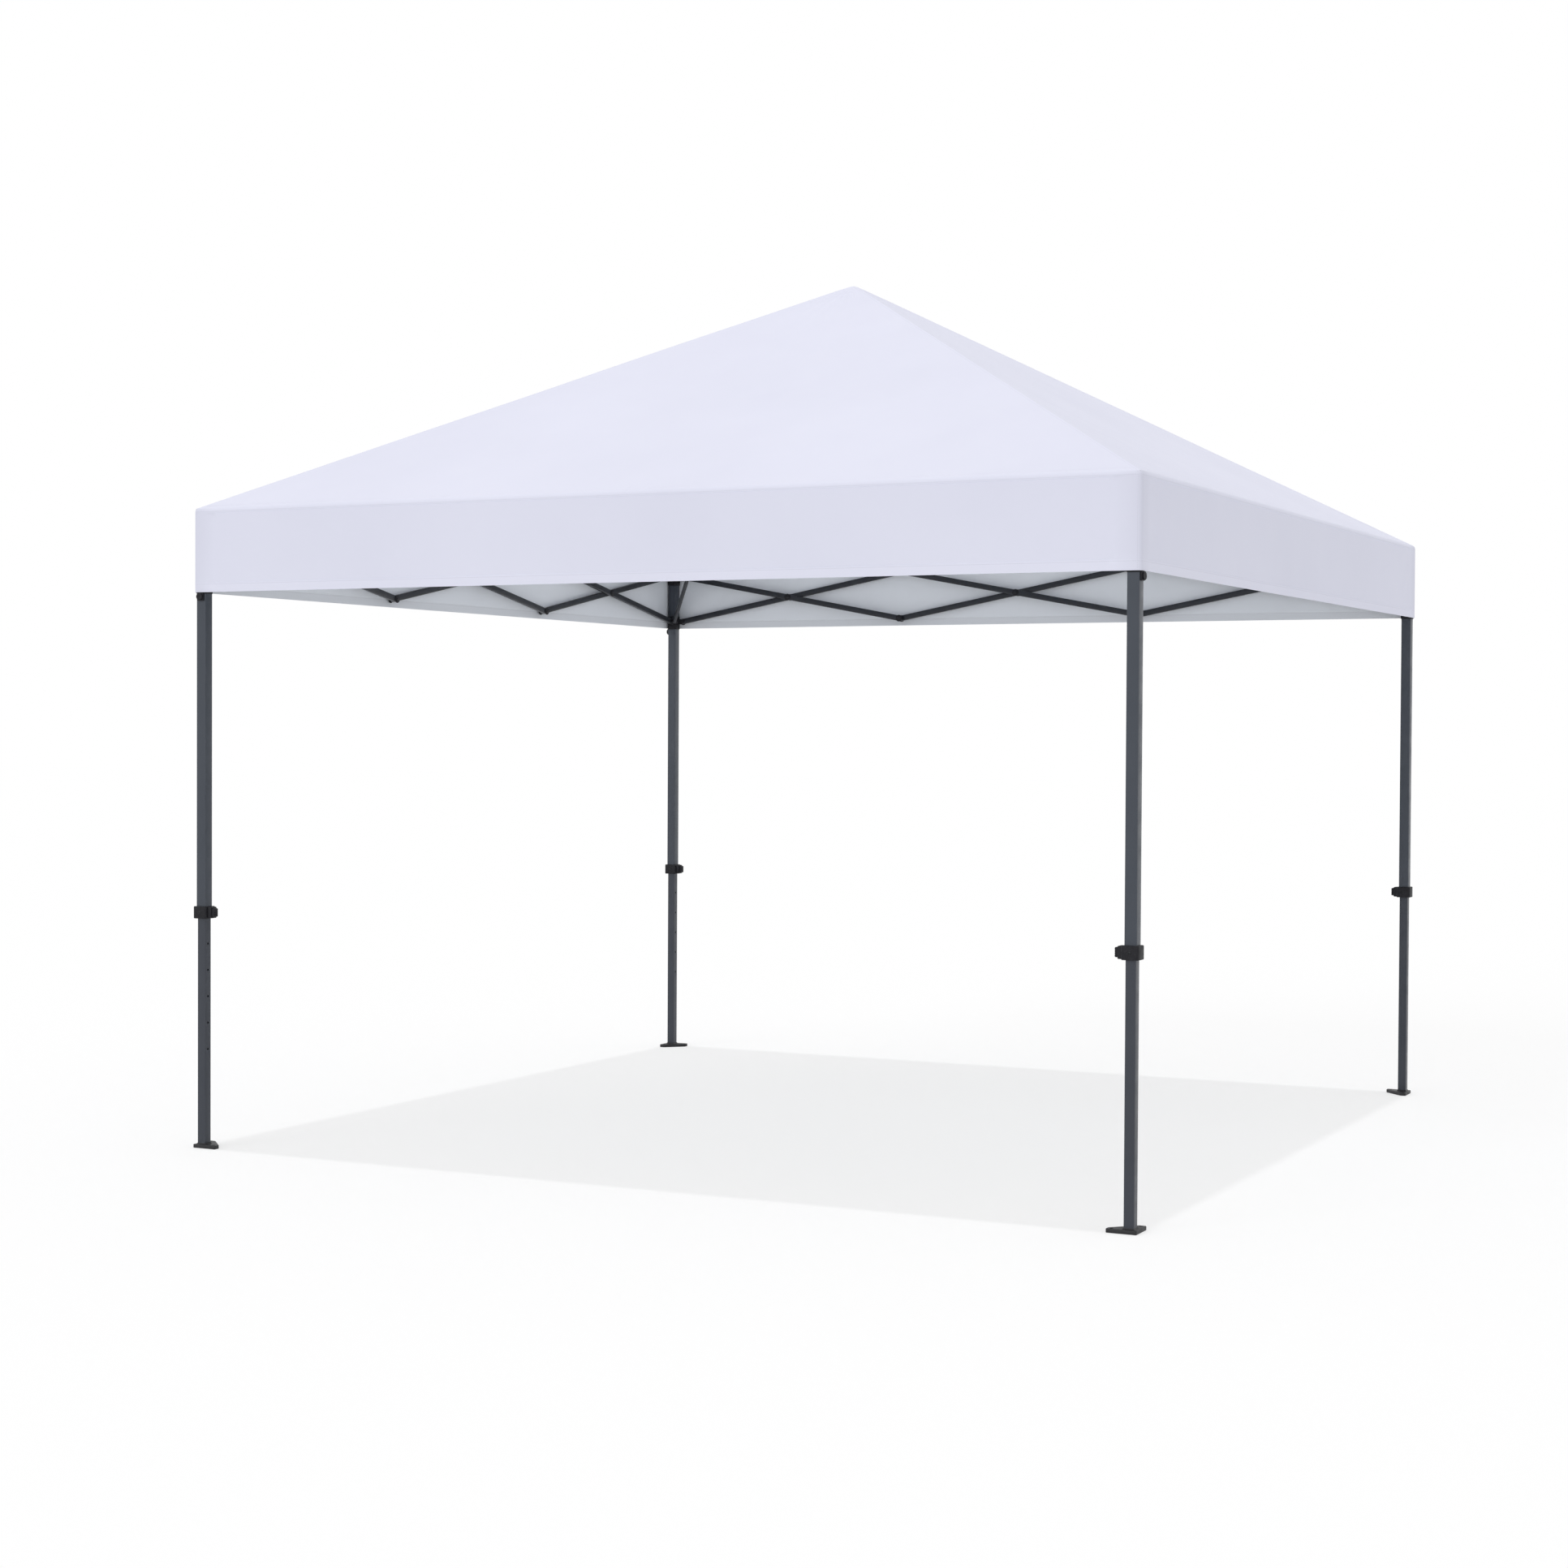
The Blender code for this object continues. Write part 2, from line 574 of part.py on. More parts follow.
def lower_cloth_mesh():
    """Left and right roof panels with their valances, joined under the other cloth at the peak."""
    outer = panel_rows(COVER_HALF, 0.0)
    inner = panel_rows(COVER_HALF - FABRIC_THICKNESS, FABRIC_THICKNESS)
    under = FABRIC_THICKNESS + LAYER_GAP
    step = CLOTH_CROSSING + SEAT_GAP
    lap = CLOTH_CROSSING + CROSSING_LAP
    outer += [(step, panel_height(step, 0.0)), (step, panel_height(step, under))]
    inner += [(lap, panel_height(lap, FABRIC_THICKNESS)), (lap, panel_height(lap, CROSSING_DEPTH))]
    return cloth_mesh(outer, panel_height(0.0, under), inner, panel_height(0.0, CROSSING_DEPTH))


# Assembly

def add_half_side(corner_name, side_name, parent, turn, meshes):
    """Three bars that hang from one corner along one side, in the corner's own frame."""
    facing = Matrix.Rotation(turn, 4, "Z")
    near, far = SIDE_PIVOT_OFFSET, SIDE_PIVOT_OFFSET + BAY
    outer, inner = -LAYER_PITCH / 2, LAYER_PITCH / 2
    middle = (near + far) / 2, (TOP_PIVOT_HEIGHT + SLIDER_PIVOT_HEIGHT) / 2
    bars = (
        ("bracket_bar", meshes["bracket_bar"], (near, outer, TOP_PIVOT_HEIGHT), SCISSOR_ANGLE),
        ("slider_bar", meshes["slider_bar"], (middle[0], inner, middle[1]), -SCISSOR_ANGLE),
        ("centre_bar", meshes["centre_bar"], (far, inner, SLIDER_PIVOT_HEIGHT), -SCISSOR_ANGLE),
    )
    for kind, mesh, place, tilt in bars:
        name = f"{side_name}_{kind}_by_{corner_name}"
        add_part(name, mesh, STEEL, parent, facing @ Vector(place), (0.0, tilt, turn))


def add_corner(index, meshes):
    name, (x, y) = CORNERS[index]
    corner = bpy.data.objects.new(f"{name}_corner", None)
    PARTS.objects.link(corner)
    corner.location = (x, y, 0.0)
    corner.rotation_euler = (0.0, 0.0, index * QUARTER_TURN)
    along = Matrix.Rotation(EIGHTH_TURN, 4, "Z")
    hub_distance = LEG_RADIUS - HUB_PIVOT_RADIUS
    knee = along @ Vector((
        DIAGONAL_PIVOT_OFFSET + RAFTER_LENGTH * math.cos(ROOF_ANGLE),
        0.0,
        RAFTER_FOOT_HEIGHT + RAFTER_LENGTH * math.sin(ROOF_ANGLE),
    ))
    hub_end = along @ Vector((hub_distance, LAYER_PITCH, HUB_PIVOT_HEIGHT))
    strut_foot = along @ Vector((DIAGONAL_PIVOT_OFFSET, -LAYER_PITCH, SLIDER_PIVOT_HEIGHT))
    lock_turn = LOCK_TURNS[index]
    add_part(f"{name}_upper_leg", meshes["upper_leg", lock_turn], STEEL, corner)
    add_part(f"{name}_lower_leg", meshes["lower_leg"], STEEL, corner)
    add_part(f"{name}_height_lock", meshes["height_lock"], PLASTIC, corner, turn=(0.0, 0.0, lock_turn))
    add_part(f"{name}_slider", meshes["slider"], PLASTIC, corner)
    add_part(f"{name}_slider_latch", meshes["slider_latch"], PLASTIC, corner, (0.0, 0.0, LATCH_HEIGHT))
    strut_turn = (0.0, -STRUT_ANGLE, EIGHTH_TURN)
    rafter_turn = (0.0, -ROOF_ANGLE, EIGHTH_TURN)
    add_part(f"{name}_strut", meshes["strut"], STEEL, corner, strut_foot, strut_turn)
    add_part(f"{name}_lower_rafter", meshes["lower_rafter"], STEEL, corner, knee, rafter_turn)
    add_part(f"{name}_upper_rafter", meshes["upper_rafter"], STEEL, corner, hub_end, rafter_turn)
    add_half_side(name, SIDES[index], corner, 0.0, meshes)
    add_half_side(name, SIDES[index - 1], corner, QUARTER_TURN, meshes)


def shifted_along_bar(shape, distance):
    """Moves a bar along its own length, so that its origin lies on another pivot."""
    return moved(shape, Matrix.Translation((-distance, 0.0, 0.0)))


def build():
    half_bar = BAR_LENGTH / 2
    slider_bar = flat_bar(BAR_LENGTH, BAR_WIDTH, BAR_THICKNESS, (0.0, half_bar, BAR_LENGTH))
    lower_rafter = bar_with_rivets(RAFTER_LENGTH, (0.0, STRUT_ALONG_RAFTER), (RAFTER_LENGTH,))
    upper_rafter = flat_bar(RAFTER_LENGTH, BAR_WIDTH, BAR_THICKNESS, (0.0, RAFTER_LENGTH))
    meshes = {
        "lower_leg": lower_leg_mesh(),
        "height_lock": height_lock_mesh(),
        "slider": slider_mesh(),
        "slider_latch": slider_latch_mesh(),
        "bracket_bar": finished(bar_with_rivets(BAR_LENGTH, (0.0,), (half_bar, BAR_LENGTH))),
        "slider_bar": finished(shifted_along_bar(slider_bar, half_bar)),
        "centre_bar": finished(flat_bar(BAR_LENGTH, BAR_WIDTH, BAR_THICKNESS, (0.0, half_bar, BAR_LENGTH))),
        "lower_rafter": finished(shifted_along_bar(lower_rafter, RAFTER_LENGTH)),
        "upper_rafter": finished(shifted_along_bar(upper_rafter, RAFTER_LENGTH)),
        "strut": finished(flat_bar(STRUT_LENGTH, STRUT_WIDTH, BAR_THICKNESS, (0.0, STRUT_LENGTH))),
    }
    for lock_turn in set(LOCK_TURNS):
        meshes["upper_leg", lock_turn] = upper_leg_mesh(lock_turn)
    for index in range(len(CORNERS)):
        add_corner(index, meshes)
    add_part("peak_hub", hub_mesh(), PLASTIC)
    add_part("peak_cap", cap_mesh(), PLASTIC)
    add_part("front_rear_cloth", upper_cloth_mesh(), FABRIC)
    add_part("left_right_cloth", lower_cloth_mesh(), FABRIC, turn=(0.0, 0.0, QUARTER_TURN))
    bpy.data.collections.remove(TOOLS)


build()
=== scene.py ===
"""Pop-up canopy: cloth, fittings, finishes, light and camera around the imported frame."""

import json
import math

import bmesh
import bpy
from mathutils import Matrix, Vector, noise


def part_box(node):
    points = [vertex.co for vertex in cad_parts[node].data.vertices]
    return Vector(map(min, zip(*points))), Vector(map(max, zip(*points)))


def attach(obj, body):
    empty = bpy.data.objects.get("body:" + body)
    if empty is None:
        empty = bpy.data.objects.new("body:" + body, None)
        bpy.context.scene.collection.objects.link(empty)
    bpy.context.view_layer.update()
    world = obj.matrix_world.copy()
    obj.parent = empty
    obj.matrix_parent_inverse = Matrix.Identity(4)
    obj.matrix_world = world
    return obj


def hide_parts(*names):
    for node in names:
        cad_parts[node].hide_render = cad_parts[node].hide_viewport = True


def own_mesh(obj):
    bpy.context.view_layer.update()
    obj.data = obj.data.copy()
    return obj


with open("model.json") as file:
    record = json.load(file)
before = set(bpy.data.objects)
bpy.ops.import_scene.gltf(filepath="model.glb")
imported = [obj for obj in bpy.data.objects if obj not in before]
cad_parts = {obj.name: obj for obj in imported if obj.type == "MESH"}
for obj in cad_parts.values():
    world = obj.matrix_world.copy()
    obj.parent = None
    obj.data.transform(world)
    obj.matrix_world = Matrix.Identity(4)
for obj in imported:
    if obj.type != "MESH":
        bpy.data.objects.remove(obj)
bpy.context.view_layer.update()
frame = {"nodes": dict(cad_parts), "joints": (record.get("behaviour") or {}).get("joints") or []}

JOINTS = {joint["name"]: joint for joint in frame["joints"]}
CORNERS = ("front_left", "front_right", "rear_right", "rear_left")
SIDES = ("front", "right", "rear", "left")
QUARTER_TURN = math.pi / 2
EIGHTH_TURN = math.pi / 4
X_AXIS = Vector((1.0, 0.0, 0.0))
Y_AXIS = Vector((0.0, 1.0, 0.0))
UP = Vector((0.0, 0.0, 1.0))


def box_of(node):
    low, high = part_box(node)
    return Vector(low), Vector(high)


def pivot(joint):
    return Vector(JOINTS[joint]["pos_m"])


# Camera fitted to the photograph's 1932 pixel square frame
FRAME_PIXELS = 1932
FOCAL_PIXELS = 3263
SENSOR_MM = 36.0
CAMERA_PLACE = (3.661, -7.885, 1.273)
CAMERA_YAW = 0.460
CAMERA_PITCH = -0.020
CAMERA_ROLL = 0.005

# Light: each sun has turns about X, Y and Z in degrees, a strength and a softness in degrees
SKY_LEVEL = 0.70
SUNS = (
    ("overhead", (0.0, 0.0, 0.0), 0.60, 1.4),
    ("key", (62.0, 0.0, -22.0), 0.46, 30.0),
)
FLOOR_HALF = 60.0
FLOOR_SHADE = 0.9
FLOOR_GLOW = 0.49
FLOOR_GLOW_STRENGTH = 1.14

# Cover, in metres
COVER_LOW, COVER_HIGH = box_of("front_rear_cloth")
COVER_HALF = COVER_HIGH.y
HEM_HEIGHT = COVER_LOW.z
PEAK_HEIGHT = COVER_HIGH.z
VALANCE_DROP = 0.252
EAVE_HEIGHT = HEM_HEIGHT + VALANCE_DROP
ROOF_RISE = PEAK_HEIGHT - EAVE_HEIGHT
CLOTH_THICKNESS = 0.0012
PEAK_ROUNDING = 0.012
RIDGE_ROUNDING = 0.010
EAVE_ROUNDING = 0.018
CORNER_ROUNDING = 0.012
ROOF_SAG = 0.014
ROOF_RIPPLE = 0.0016
RIPPLES_PER_METRE = 2.3
CREASE_DEPTH = 0.0022
CREASES_PER_TURN = 28
CREASE_START = 0.08
CREASE_REACH = 0.30
HEM_BAND = 0.028
EAVE_BAND = 0.014
CORNER_BAND = 0.072
CORNER_TAPER = 0.030
RIDGE_SEAM = 0.010
LAP_STEP = 0.0010
LAP_EDGE = 0.0006
VALANCE_WAVE = 0.0045
WAVES_PER_METRE = 1.9
TUCK_DEPTH = 0.0030
TUCK_PITCH = 0.110
TUCK_REACH = 0.22
TUCK_START = 0.050
ARC_STEPS = 5
ROOF_ROWS = 36
ROOF_COLUMNS = 40
ROOF_END_ROWS = 14
ROOF_CORNER_LENGTH = 0.110
ROOF_TIP_LENGTH = 0.110
VALANCE_COLUMNS = 88
VALANCE_PLAIN_ROWS = 12
STITCH_PITCH = 0.006
STITCH_SHARE = 0.62
STITCH_HALF_WIDTH = 0.0008
STITCH_INSET = 0.004

# Folded cover: the share of its width that each sheet keeps, and how far the roof lies aside of its ridge
FOLDED_EAVE_SHARE = 0.0125
FOLDED_EAVE_ASIDE = 0.044
FOLDED_PEAK_SHARE = 0.015
FOLDED_PEAK_ASIDE = 0.026

# Tubes and bars, in metres
UPPER_TUBE = 0.033
LOWER_TUBE = 0.028
TUBE_WALL = 0.0012
TUBE_ROUNDING = 0.0018
BAR_WIDTH = 0.021
BAR_THICKNESS = 0.012
STRUT_WIDTH = 0.016
BAR_ROUNDING = 0.0025
LAYER_GAP = 0.0008
LAYER_PITCH = BAR_THICKNESS + LAYER_GAP
RIVET_RADIUS = 0.0055
RIVET_HEIGHT = 0.0020
BOSS_RADIUS = 0.0130
BOSS_HEIGHT = 0.0025
BOSS_RIM = 0.0009

# Fittings on the legs, in metres from the leg's axis
SIDE_PIVOT_OFFSET = 0.036
DIAGONAL_PIVOT_OFFSET = 0.052
LUG_THICKNESS = 0.006
LUG_ROUNDING = 0.0012
FITTING_ROUNDING = 0.009
COLLAR_ROUNDING = 0.006
FITTING_RIM = 0.0025
SOFT_EDGE = 0.0030
RUNNING_GAP = 0.0004
BRACKET_SIZE = 0.041
BRACKET_LENGTH = 0.070
BRACKET_BELOW_EAVE = 0.010
BRACKET_TOP = EAVE_HEIGHT - BRACKET_BELOW_EAVE
BRACKET_ROOF = 0.004
COLLAR_SIZE = 0.048
COLLAR_LENGTH = 0.037
COLLAR_BOTTOM = box_of("front_left_upper_leg")[0].z
COLLAR_TOP = COLLAR_BOTTOM + COLLAR_LENGTH
COLLAR_MIDDLE = (COLLAR_BOTTOM + COLLAR_TOP) / 2
LOCK_WIDTH = 0.020
LOCK_HEIGHT = 0.026
LOCK_LENGTH = 0.019
LOCK_FACE = 0.045
LOCK_BOSS_FACE = 0.036
LOCK_BOSS_WIDTH = 0.030
LOCK_BOSS_HEIGHT = 0.034
GROOVE_PITCH = 0.006
GROOVE_RADIUS = 0.0013
SLIDER_SIZE = 0.040
SLIDER_BELOW_HEM = 0.004
SLIDER_ABOVE_PIVOT = 0.022
SLIDER_BOTTOM = HEM_HEIGHT - SLIDER_BELOW_HEM
SLIDER_PIVOT = pivot("front_left_strut_hinge").z
SLIDER_TOP = SLIDER_PIVOT + SLIDER_ABOVE_PIVOT
TAB_WIDTH = 0.024
TAB_DEPTH = 0.005
TAB_FACE = UPPER_TUBE / 2 + RUNNING_GAP + TAB_DEPTH
TAB_BELOW_PIN = 0.012
TAB_TOP = HEM_HEIGHT - LAYER_GAP
KNOB_RADIUS = 0.011
KNOB_GAP = 0.0003
KNOB_DEPTH = 0.005
KNOB_BACK = TAB_FACE + KNOB_GAP
KNOB_RIM = 0.0012
KNOB_DISH = 0.0012
KNOB_GRIPS = 12
PIN_RADIUS = 0.004
PIN_TIP_GAP = 0.0009
PIN_TIP = UPPER_TUBE / 2 + PIN_TIP_GAP
LATCH_HEIGHT = sum(corner.z for corner in box_of("front_left_slider_latch")) / 2
SCREW_RADIUS = 0.0050
SCREW_HEIGHT = 0.0020
SCREW_RECESS = 0.0022

# Lower legs and feet, in metres
LOWER_TOP = box_of("front_left_lower_leg")[1].z
BUSH_WIDTH = UPPER_TUBE - 2 * TUBE_WALL - 2 * RUNNING_GAP
BUSH_LENGTH = 0.025
STOP_HOLE_RADIUS = 0.0035
STOP_HOLES = (0.30, 0.38, 0.46, 0.54, 0.62)
FOOT_SIZE = 0.083
FOOT_LIP = 0.010
FOOT_WING_END = 0.020
FOOT_THICKNESS = 0.011
FOOT_ROUNDING = 0.004
FOOT_RIM = 0.0016
STAKE_HOLE_RADIUS = 0.005
WELD_WIDTH = 0.0030
WELD_HEIGHT = 0.0035

# Peak, in metres
HUB_PIVOT = pivot("front_left_upper_rafter_hinge").z
HUB_PIVOT_RADIUS = 0.060
HUB_RADIUS = 0.038
HUB_BOTTOM, HUB_TOP = (corner.z for corner in box_of("peak_hub"))
HUB_RIM = 0.004
HUB_HOLLOW_RADIUS = 0.029
HUB_ROOF = 0.012
HUB_WEB = 0.003
CAP_BOTTOM, CAP_TOP = (corner.z for corner in box_of("peak_cap"))
CAP_RADIUS = 0.034
CAP_BRIM = 0.006


# Materials

def material_nodes(name):
    material = bpy.data.materials.new(name)
    material.use_nodes = True
    tree = material.node_tree
    return material, tree, tree.nodes["Principled BSDF"]


def add_node(tree, kind, **values):
    node = tree.nodes.new(kind)
    for key, value in values.items():
        if hasattr(node, key):
            setattr(node, key, value)
        else:
            node.inputs[key.replace("_", " ")].default_value = value
    return node


def math_node(tree, operation, *values):
    node = add_node(tree, "ShaderNodeMath", operation=operation)
    for socket, value in zip(node.inputs, values):
        if isinstance(value, (int, float)):
            socket.default_value = value
        else:
            tree.links.new(value, socket)
    return node.outputs[0]


def object_coordinates(tree):
    return add_node(tree, "ShaderNodeTexCoord").outputs["Object"]


def between(tree, value, source, target):
    """Value mapped from one range to another."""
    spread = add_node(tree, "ShaderNodeMapRange")
    for key, number in zip(("From Min", "From Max", "To Min", "To Max"), (*source, *target)):
        spread.inputs[key].default_value = number
    tree.links.new(value, spread.inputs["Value"])
    return spread.outputs["Result"]


def noise_between(tree, coordinates, scale, low, high, detail=4.0):
    """Soft noise mapped to a range of values."""
    texture = add_node(tree, "ShaderNodeTexNoise", Scale=scale, Detail=detail)
    tree.links.new(coordinates, texture.inputs["Vector"])
    return between(tree, texture.outputs["Fac"], (0.3, 0.7), (low, high))


def mixed(tree, colour, other, amount):
    """Mix of two colours, each a triple or a socket."""
    mix = add_node(tree, "ShaderNodeMix", data_type="RGBA")
    for socket, value in zip((mix.inputs["A"], mix.inputs["B"]), (colour, other)):
        if isinstance(value, tuple):
            socket.default_value = (*value, 1.0)
        else:
            tree.links.new(value, socket)
    tree.links.new(amount, mix.inputs["Factor"])
    return mix.outputs["Result"]


def bump(tree, shader, height, strength, distance):
    node = add_node(tree, "ShaderNodeBump", Strength=strength, Distance=distance)
    tree.links.new(height, node.inputs["Height"])
    tree.links.new(node.outputs["Normal"], shader.inputs["Normal"])


def weave(tree, coordinates):
    """Crossed fine threads."""
    threads = 0.0
    for direction in ("X", "Y", "Z"):
        wave = add_node(tree, "ShaderNodeTexWave", bands_direction=direction, Scale=320.0, Distortion=0.6)
        tree.links.new(coordinates, wave.inputs["Vector"])
        threads = math_node(tree, "ADD", wave.outputs["Fac"], threads)
    return threads


def seams(tree, coordinates):
    """Masks of the stitch rows, of the doubled hem and of the shade where the valance turns a corner."""
    split = add_node(tree, "ShaderNodeSeparateXYZ")
    tree.links.new(coordinates, split.inputs[0])
    across = math_node(tree, "ABSOLUTE", split.outputs["X"])
    along = math_node(tree, "ABSOLUTE", split.outputs["Y"])
    height = split.outputs["Z"]
    off_ridge = math_node(tree, "ABSOLUTE", math_node(tree, "SUBTRACT", across, along))
    row = 0.0
    for value, place in (
        (height, HEM_HEIGHT + HEM_BAND - STITCH_INSET),
        (height, EAVE_HEIGHT - EAVE_BAND + STITCH_INSET),
        (off_ridge, RIDGE_SEAM),
    ):
        row = math_node(tree, "MAXIMUM", math_node(tree, "COMPARE", value, place, STITCH_HALF_WIDTH), row)
    run = math_node(tree, "ADD", math_node(tree, "ADD", across, along), height)
    beat = math_node(tree, "FRACT", math_node(tree, "DIVIDE", run, STITCH_PITCH))
    stitches = math_node(tree, "MULTIPLY", row, math_node(tree, "LESS_THAN", beat, STITCH_SHARE))
    doubled = math_node(tree, "LESS_THAN", height, HEM_HEIGHT + HEM_BAND)
    hanging = math_node(tree, "LESS_THAN", height, EAVE_HEIGHT)
    # Painted shade: darkest where the valance turns the corner, fading out across the corner band
    painted_corner_shade = math_node(tree, "MULTIPLY", between(tree, off_ridge, (0.0, CORNER_BAND), (1.0, 0.0)), hanging)
    return stitches, doubled, painted_corner_shade


def cloth_material(name, colour, cloudy, thread_and_shade, band):
    """Coated polyester: a fine plain weave, faint cloudiness, stitched seams, a doubled hem, and painted
    shade where the valance turns a corner.
    """
    material, tree, shader = material_nodes(name)
    coordinates = object_coordinates(tree)
    base = mixed(tree, colour, cloudy, noise_between(tree, coordinates, 1.6, 0.0, 1.0))
    stitches, doubled, painted_corner_shade = seams(tree, coordinates)
    base = mixed(tree, base, band, math_node(tree, "MULTIPLY", doubled, 0.6))
    # Painted shade at the valance corners, in the thread colour, which also colours the stitches
    base = mixed(tree, base, thread_and_shade, math_node(tree, "MULTIPLY", painted_corner_shade, 0.32))
    base = mixed(tree, base, thread_and_shade, math_node(tree, "MULTIPLY", stitches, 0.5))
    tree.links.new(base, shader.inputs["Base Color"])
    tree.links.new(noise_between(tree, coordinates, 9.0, 0.62, 0.78), shader.inputs["Roughness"])
    threads = math_node(tree, "MULTIPLY", weave(tree, coordinates), 0.3)
    bump(tree, shader, math_node(tree, "SUBTRACT", threads, stitches), 0.25, 0.0004)
    shader.inputs["Specular IOR Level"].default_value = 0.35
    shader.inputs["Sheen Weight"].default_value = 0.08
    return material


def worn_edges(tree, coordinates, halves):
    """Patchy mask of a bar's long edges, from its half sizes on two axes."""
    split = add_node(tree, "ShaderNodeSeparateXYZ")
    tree.links.new(coordinates, split.inputs[0])
    shares = []
    for axis, half in halves:
        shares.append(math_node(tree, "DIVIDE", math_node(tree, "ABSOLUTE", split.outputs[axis]), half))
    edge = between(tree, math_node(tree, "MINIMUM", *shares), (0.88, 1.0), (0.0, 0.8))
    return math_node(tree, "MULTIPLY", edge, noise_between(tree, coordinates, 40.0, 0.0, 1.0))


def coated_metal(name, colours, halves, roughness=0.36, metallic=0.35, grain=900.0):
    """Powder-coated metal: a fine pebbled coat, cloudy, and rubbed lighter along its edges."""
    colour, patch, edge = colours
    material, tree, shader = material_nodes(name)
    coordinates = object_coordinates(tree)
    base = mixed(tree, colour, patch, noise_between(tree, coordinates, 7.0, 0.0, 1.0, 6.0))
    if halves:
        base = mixed(tree, base, edge, worn_edges(tree, coordinates, halves))
    tree.links.new(base, shader.inputs["Base Color"])
    rough = noise_between(tree, coordinates, 30.0, roughness - 0.06, roughness + 0.08)
    tree.links.new(rough, shader.inputs["Roughness"])
    pebbles = add_node(tree, "ShaderNodeTexNoise", Scale=grain, Detail=2.0)
    tree.links.new(coordinates, pebbles.inputs["Vector"])
    bump(tree, shader, pebbles.outputs["Fac"], 0.18, 0.0003)
    shader.inputs["Metallic"].default_value = metallic
    return material


def moulded_plastic():
    """Black nylon with a fine moulded grain, paler where it is scuffed."""
    material, tree, shader = material_nodes("black_nylon")
    coordinates = object_coordinates(tree)
    patches = noise_between(tree, coordinates, 24.0, 0.0, 1.0)
    base = mixed(tree, (0.008, 0.008, 0.011), (0.013, 0.013, 0.017), patches)
    scuffs = add_node(tree, "ShaderNodeTexNoise", Scale=140.0, Detail=6.0)
    tree.links.new(coordinates, scuffs.inputs["Vector"])
    scuffed = between(tree, scuffs.outputs["Fac"], (0.62, 0.72), (0.0, 0.6))
    tree.links.new(mixed(tree, base, (0.032, 0.032, 0.037), scuffed), shader.inputs["Base Color"])
    tree.links.new(noise_between(tree, coordinates, 60.0, 0.48, 0.62), shader.inputs["Roughness"])
    grain = add_node(tree, "ShaderNodeTexVoronoi", Scale=900.0)
    tree.links.new(coordinates, grain.inputs["Vector"])
    bump(tree, shader, grain.outputs["Distance"], 0.20, 0.0002)
    shader.inputs["Specular IOR Level"].default_value = 0.25
    return material


CLOTH = cloth_material(
    "white_cloth", (0.81, 0.82, 0.95), (0.78, 0.79, 0.92), (0.62, 0.63, 0.74), (0.82, 0.83, 0.96)
)
# Inner face of the cloth: the same cloth painted paler, standing in for light that shines through it
INSIDE_CLOTH_PAINTED_LIGHT = cloth_material(
    "cloth_inside_painted_light", (0.86, 0.89, 0.94), (0.82, 0.85, 0.90), (0.60, 0.62, 0.65), (0.72, 0.74, 0.78)
)
SLATE = ((0.050, 0.059, 0.076), (0.058, 0.067, 0.084), (0.100, 0.110, 0.128))
DARK_SLATE = ((0.040, 0.046, 0.060), (0.048, 0.054, 0.068), (0.090, 0.097, 0.113))
BLACK = ((0.020, 0.023, 0.030), (0.028, 0.031, 0.039), (0.060, 0.065, 0.075))
SOOT = ((0.010, 0.010, 0.012), (0.014, 0.014, 0.017), (0.040, 0.040, 0.045))
UPPER_STEEL = coated_metal("slate_coat_upper", SLATE, (("X", UPPER_TUBE / 2), ("Y", UPPER_TUBE / 2)))
LOWER_STEEL = coated_metal("slate_coat_lower", DARK_SLATE, (("X", LOWER_TUBE / 2), ("Y", LOWER_TUBE / 2)))
BAR_STEEL = coated_metal("black_coat_bar", BLACK, (("Y", BAR_THICKNESS / 2), ("Z", BAR_WIDTH / 2)))
FOOT_STEEL = coated_metal("black_coat_foot", SOOT, (), 0.50, 0.10)
IRON = ((0.022, 0.023, 0.026), (0.034, 0.035, 0.038), (0.070, 0.070, 0.074))
RIVET = coated_metal("blackened_rivet", IRON, (), 0.36, 0.8, 1500.0)
PLASTIC = moulded_plastic()


# Shapes

def shape_of(bm):
    bmesh.ops.recalc_face_normals(bm, faces=bm.faces)
    mesh = bpy.data.meshes.new("shape")
    bm.to_mesh(mesh)
    bm.free()
    shape = bpy.data.objects.new("shape", mesh)
    bpy.context.scene.collection.objects.link(shape)
    return shape


def placed(shape, matrix):
    shape.data.transform(matrix)
    return shape


def facing(spot, direction):
    """Matrix that lays a shape's Z along a direction, from a spot."""
    turn = Vector(direction).to_track_quat("Z", "Y").to_matrix().to_4x4()
    return Matrix.Translation(spot) @ turn


def rounded(bm, edges, radius, segments):
    bmesh.ops.bevel(
        bm, geom=edges, offset=radius, segments=segments, profile=0.5, affect="EDGES", clamp_overlap=True
    )


def level(edge, axis):
    return abs(edge.verts[0].co[axis] - edge.verts[1].co[axis]) < 1e-6


def cube(low, high):
    bm = bmesh.new()
    bmesh.ops.create_cube(bm, size=1.0)
    low, high = Vector(low), Vector(high)
    size = Matrix.Diagonal((*(high - low), 1.0))
    bmesh.ops.transform(bm, matrix=Matrix.Translation((low + high) / 2) @ size, verts=bm.verts)
    return bm


def block(low, high, radius):
    """Box with every edge rounded."""
    bm = cube(low, high)
    rounded(bm, bm.edges[:], radius, 3)
    return shape_of(bm)


def post(width, bottom, top, radius, end_radius=0.0):
    """Square post on the Z axis with rounded long edges, and softer ends if asked."""
    bm = cube((-width / 2, -width / 2, bottom), (width / 2, width / 2, top))
    rounded(bm, [e for e in bm.edges if not level(e, 2)], radius, 4)
    if end_radius:
        rounded(bm, [e for e in bm.edges if level(e, 2)], end_radius, 3)
    return shape_of(bm)


